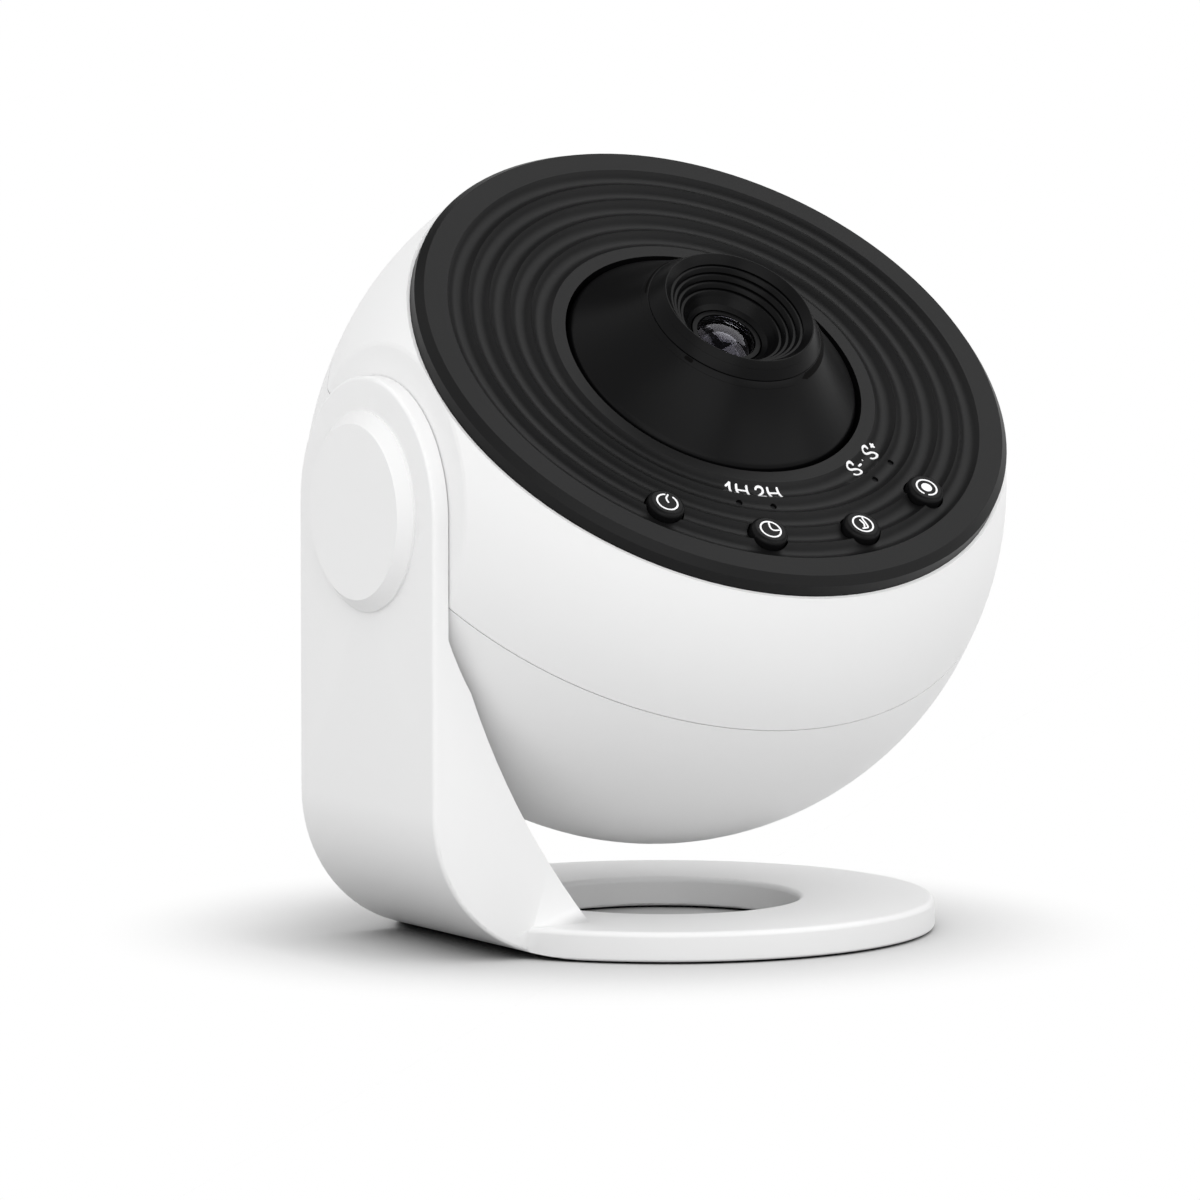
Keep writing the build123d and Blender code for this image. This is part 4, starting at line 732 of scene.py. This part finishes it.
standBody = mergedCopy("stand", "standBody")
cutWith(standBody, "UNION", "oldGroove", turned(
    ringOutline(footSizes["oldGroove"], footSizes["underside"], footSizes["oldGrooveHigh"]), roundStand, 160))
cutWith(standBody, "INTERSECT", "bendEnd", bendPrism(footSizes))
cutWith(standBody, "DIFFERENCE", "newGroove", turned(
    ringOutline(footSizes["groove"], 0.0, footSizes["grooveHigh"]), roundStand, 160))
print("stand:", len(standBody.data.vertices), "points", len(standBody.data.polygons), "faces")
standBody.data.materials.clear()
standBody.data.materials.append(materials["white_shell"])
standBody.data.polygons.foreach_set("use_smooth", np.full(len(standBody.data.polygons), True))
standBody.data.set_sharp_from_angle(angle=math.radians(28.0))
evenShade = standBody.modifiers.new("evenShade", "WEIGHTED_NORMAL")
evenShade.keep_sharp = True
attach(standBody, "base")
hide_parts("stand")

footRing = addPiece("footRing", [turned(softCorners(ringOutline(
    footSizes["ring"], 0.0, footSizes["grooveHigh"] - 0.02), 0.2), roundStand, 160)], "base",
    materials["foot_rubber"])
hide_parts("foot_ring")
print("foot made")


studio = {
    "cameraPlace": (-0.83756, -1.37294, 0.22479),
    "cameraYaw": -31.06,
    "cameraPitch": 5.95,
    "cameraLens": 280.1,
    "floorSize": 16.0,
    "floorTone": 0.72,         # as the camera sees it
    "floorBounce": (0.3, 0.56),  # as the light on the object meets it, near it and away
    "floorGlow": (0.0, 1.0),   # share of plain white near the object and away from it; nearer in, the floor shows floorTone, a painted grey shade round the object with the lamps' real shadows on it
    "glowCentre": (-0.007, 0.0, 0.0),
    "glowReach": (0.048, 0.092),
    "paintedShadowReach": 0.022,        # painted contact shadow: reach and depth of the ambient occlusion that darkens the floor
    "paintedShadowDepth": 0.35,
    "worldLight": 0.5,
    "ceiling": 0.1,            # overhead, in reflections
    "ceilingRise": (0.15, 0.6),
    "lookAt": (0.0, 0.0, 0.07),
    # name: place, size, power
    "lamps": {
        "leftLamp": ((-0.93, 0.2, 1.25), 2.2, 13.0),
        "topLamp": ((0.7, 0.05, 1.3), 1.0, 5.5),
        "rightLamp": ((0.8, -1.35, 0.9), 1.6, 11.5),
        "frontLamp": ((-0.75, -1.3, 0.6), 1.4, 9.5),
    },
}


def placeCamera():
    yaw, pitch = math.radians(studio["cameraYaw"]), math.radians(studio["cameraPitch"])
    back = Vector((math.sin(yaw) * math.cos(pitch), -math.cos(yaw) * math.cos(pitch), math.sin(pitch)))
    right = Vector((math.cos(yaw), math.sin(yaw), 0))
    top = back.cross(right)
    camera = bpy.data.objects.new("camera", bpy.data.cameras.new("camera"))
    bpy.context.scene.collection.objects.link(camera)
    camera.data.sensor_width = 36
    camera.data.lens = studio["cameraLens"]
    camera.data.clip_start, camera.data.clip_end = 0.05, 20
    camera.matrix_world = Matrix((right, top, back)).transposed().to_4x4()
    camera.location = studio["cameraPlace"]
    bpy.context.scene.camera = camera


def addLamp(name, place, size, power):
    lamp = bpy.data.objects.new(name, bpy.data.lights.new(name, "AREA"))
    bpy.context.scene.collection.objects.link(lamp)
    lamp.data.shape = "SQUARE"
    lamp.data.size = size
    lamp.data.energy = power
    lamp.location = place
    lamp.rotation_euler = (Vector(studio["lookAt"]) - Vector(place)).to_track_quat("-Z", "Y").to_euler()


def mapRange(tree, value, fromRange, toRange):
    node = tree.nodes.new("ShaderNodeMapRange")
    node.interpolation_type = "SMOOTHSTEP"
    tree.links.new(value, node.inputs["Value"])
    for title, number in zip(("From Min", "From Max", "To Min", "To Max"), (*fromRange, *toRange)):
        node.inputs[title].default_value = number
    return node.outputs["Result"]


def buildWorld():
    # camera, glossy and transmitted rays see white round the object and a soft grey ceiling above
    world = bpy.data.worlds.new("studioWorld")
    bpy.context.scene.world = world
    world.use_nodes = True
    tree = world.node_tree
    tree.nodes.clear()
    path = tree.nodes.new("ShaderNodeLightPath")
    seen = mathNode(tree, "MAXIMUM", path.outputs["Is Camera Ray"], mathNode(
        tree, "MAXIMUM", path.outputs["Is Glossy Ray"], path.outputs["Is Transmission Ray"]))
    soft, white = tree.nodes.new("ShaderNodeBackground"), tree.nodes.new("ShaderNodeBackground")
    soft.inputs["Strength"].default_value = studio["worldLight"]
    direction = tree.nodes.new("ShaderNodeSeparateXYZ")
    tree.links.new(tree.nodes.new("ShaderNodeTexCoord").outputs["Generated"], direction.inputs[0])
    backdrop = mapRange(tree, direction.outputs["Z"], studio["ceilingRise"], (1.0, studio["ceiling"]))
    tree.links.new(backdrop, white.inputs["Strength"])
    for background in (soft, white):
        background.inputs["Color"].default_value = (1, 1, 1, 1)
    mix, out = tree.nodes.new("ShaderNodeMixShader"), tree.nodes.new("ShaderNodeOutputWorld")
    tree.links.new(seen, mix.inputs["Fac"])
    tree.links.new(soft.outputs[0], mix.inputs[1])
    tree.links.new(white.outputs[0], mix.inputs[2])
    tree.links.new(mix.outputs[0], out.inputs["Surface"])


def buildFloor():
    half = studio["floorSize"] / 2
    x, y = np.meshgrid([-half, half], [-half, half], indexing="ij")
    floor = newMesh("floor", [(np.stack([x, y, np.zeros_like(x)], axis=-1), gridFaces(2, 2))])
    material = bpy.data.materials.new("floorWhite")
    material.use_nodes = True
    tree = material.node_tree
    tree.nodes.clear()
    path = tree.nodes.new("ShaderNodeLightPath")
    seen = mathNode(tree, "MAXIMUM", path.outputs["Is Camera Ray"], mathNode(
        tree, "MAXIMUM", path.outputs["Is Glossy Ray"], path.outputs["Is Transmission Ray"]))
    distance = tree.nodes.new("ShaderNodeVectorMath")
    distance.operation = "DISTANCE"
    distance.inputs[1].default_value = studio["glowCentre"]
    tree.links.new(tree.nodes.new("ShaderNodeTexCoord").outputs["Object"], distance.inputs[0])
    # painted shade: near the object the camera sees the grey floorTone, with the lamps' real shadows on it, fading
    # out to plain white glow further away
    share = mapRange(tree, distance.outputs["Value"], studio["glowReach"], studio["floorGlow"])
    bounce = mapRange(tree, distance.outputs["Value"], studio["glowReach"], studio["floorBounce"])
    # painted contact shadow: ambient occlusion near the object darkens the floor's paint and its white glow
    paintedShadowNode = tree.nodes.new("ShaderNodeAmbientOcclusion")
    paintedShadowNode.samples = 8
    paintedShadowNode.inputs["Distance"].default_value = studio["paintedShadowReach"]
    paintedShadowLevel = mathNode(tree, "POWER", paintedShadowNode.outputs["AO"], studio["paintedShadowDepth"])
    tone = mathNode(tree, "ADD", mathNode(tree, "MULTIPLY", seen, mathNode(
        tree, "MULTIPLY", paintedShadowLevel, studio["floorTone"])), mathNode(
        tree, "MULTIPLY", mathNode(tree, "SUBTRACT", 1.0, seen), bounce))
    paint = tree.nodes.new("ShaderNodeBsdfDiffuse")
    tree.links.new(tone, paint.inputs["Color"])
    glow = tree.nodes.new("ShaderNodeEmission")
    glow.inputs["Color"].default_value = (1, 1, 1, 1)
    tree.links.new(paintedShadowLevel, glow.inputs["Strength"])
    mix, out = tree.nodes.new("ShaderNodeMixShader"), tree.nodes.new("ShaderNodeOutputMaterial")
    tree.links.new(mathNode(tree, "MULTIPLY", seen, share), mix.inputs["Fac"])
    tree.links.new(paint.outputs[0], mix.inputs[1])
    tree.links.new(glow.outputs[0], mix.inputs[2])
    tree.links.new(mix.outputs[0], out.inputs["Surface"])
    floor.data.materials.append(material)


placeCamera()
buildWorld()
buildFloor()
for lampName, (place, size, power) in studio["lamps"].items():
    addLamp(lampName, place, size, power)
bpy.context.scene.view_settings.view_transform = "Standard"
print("studio ready")
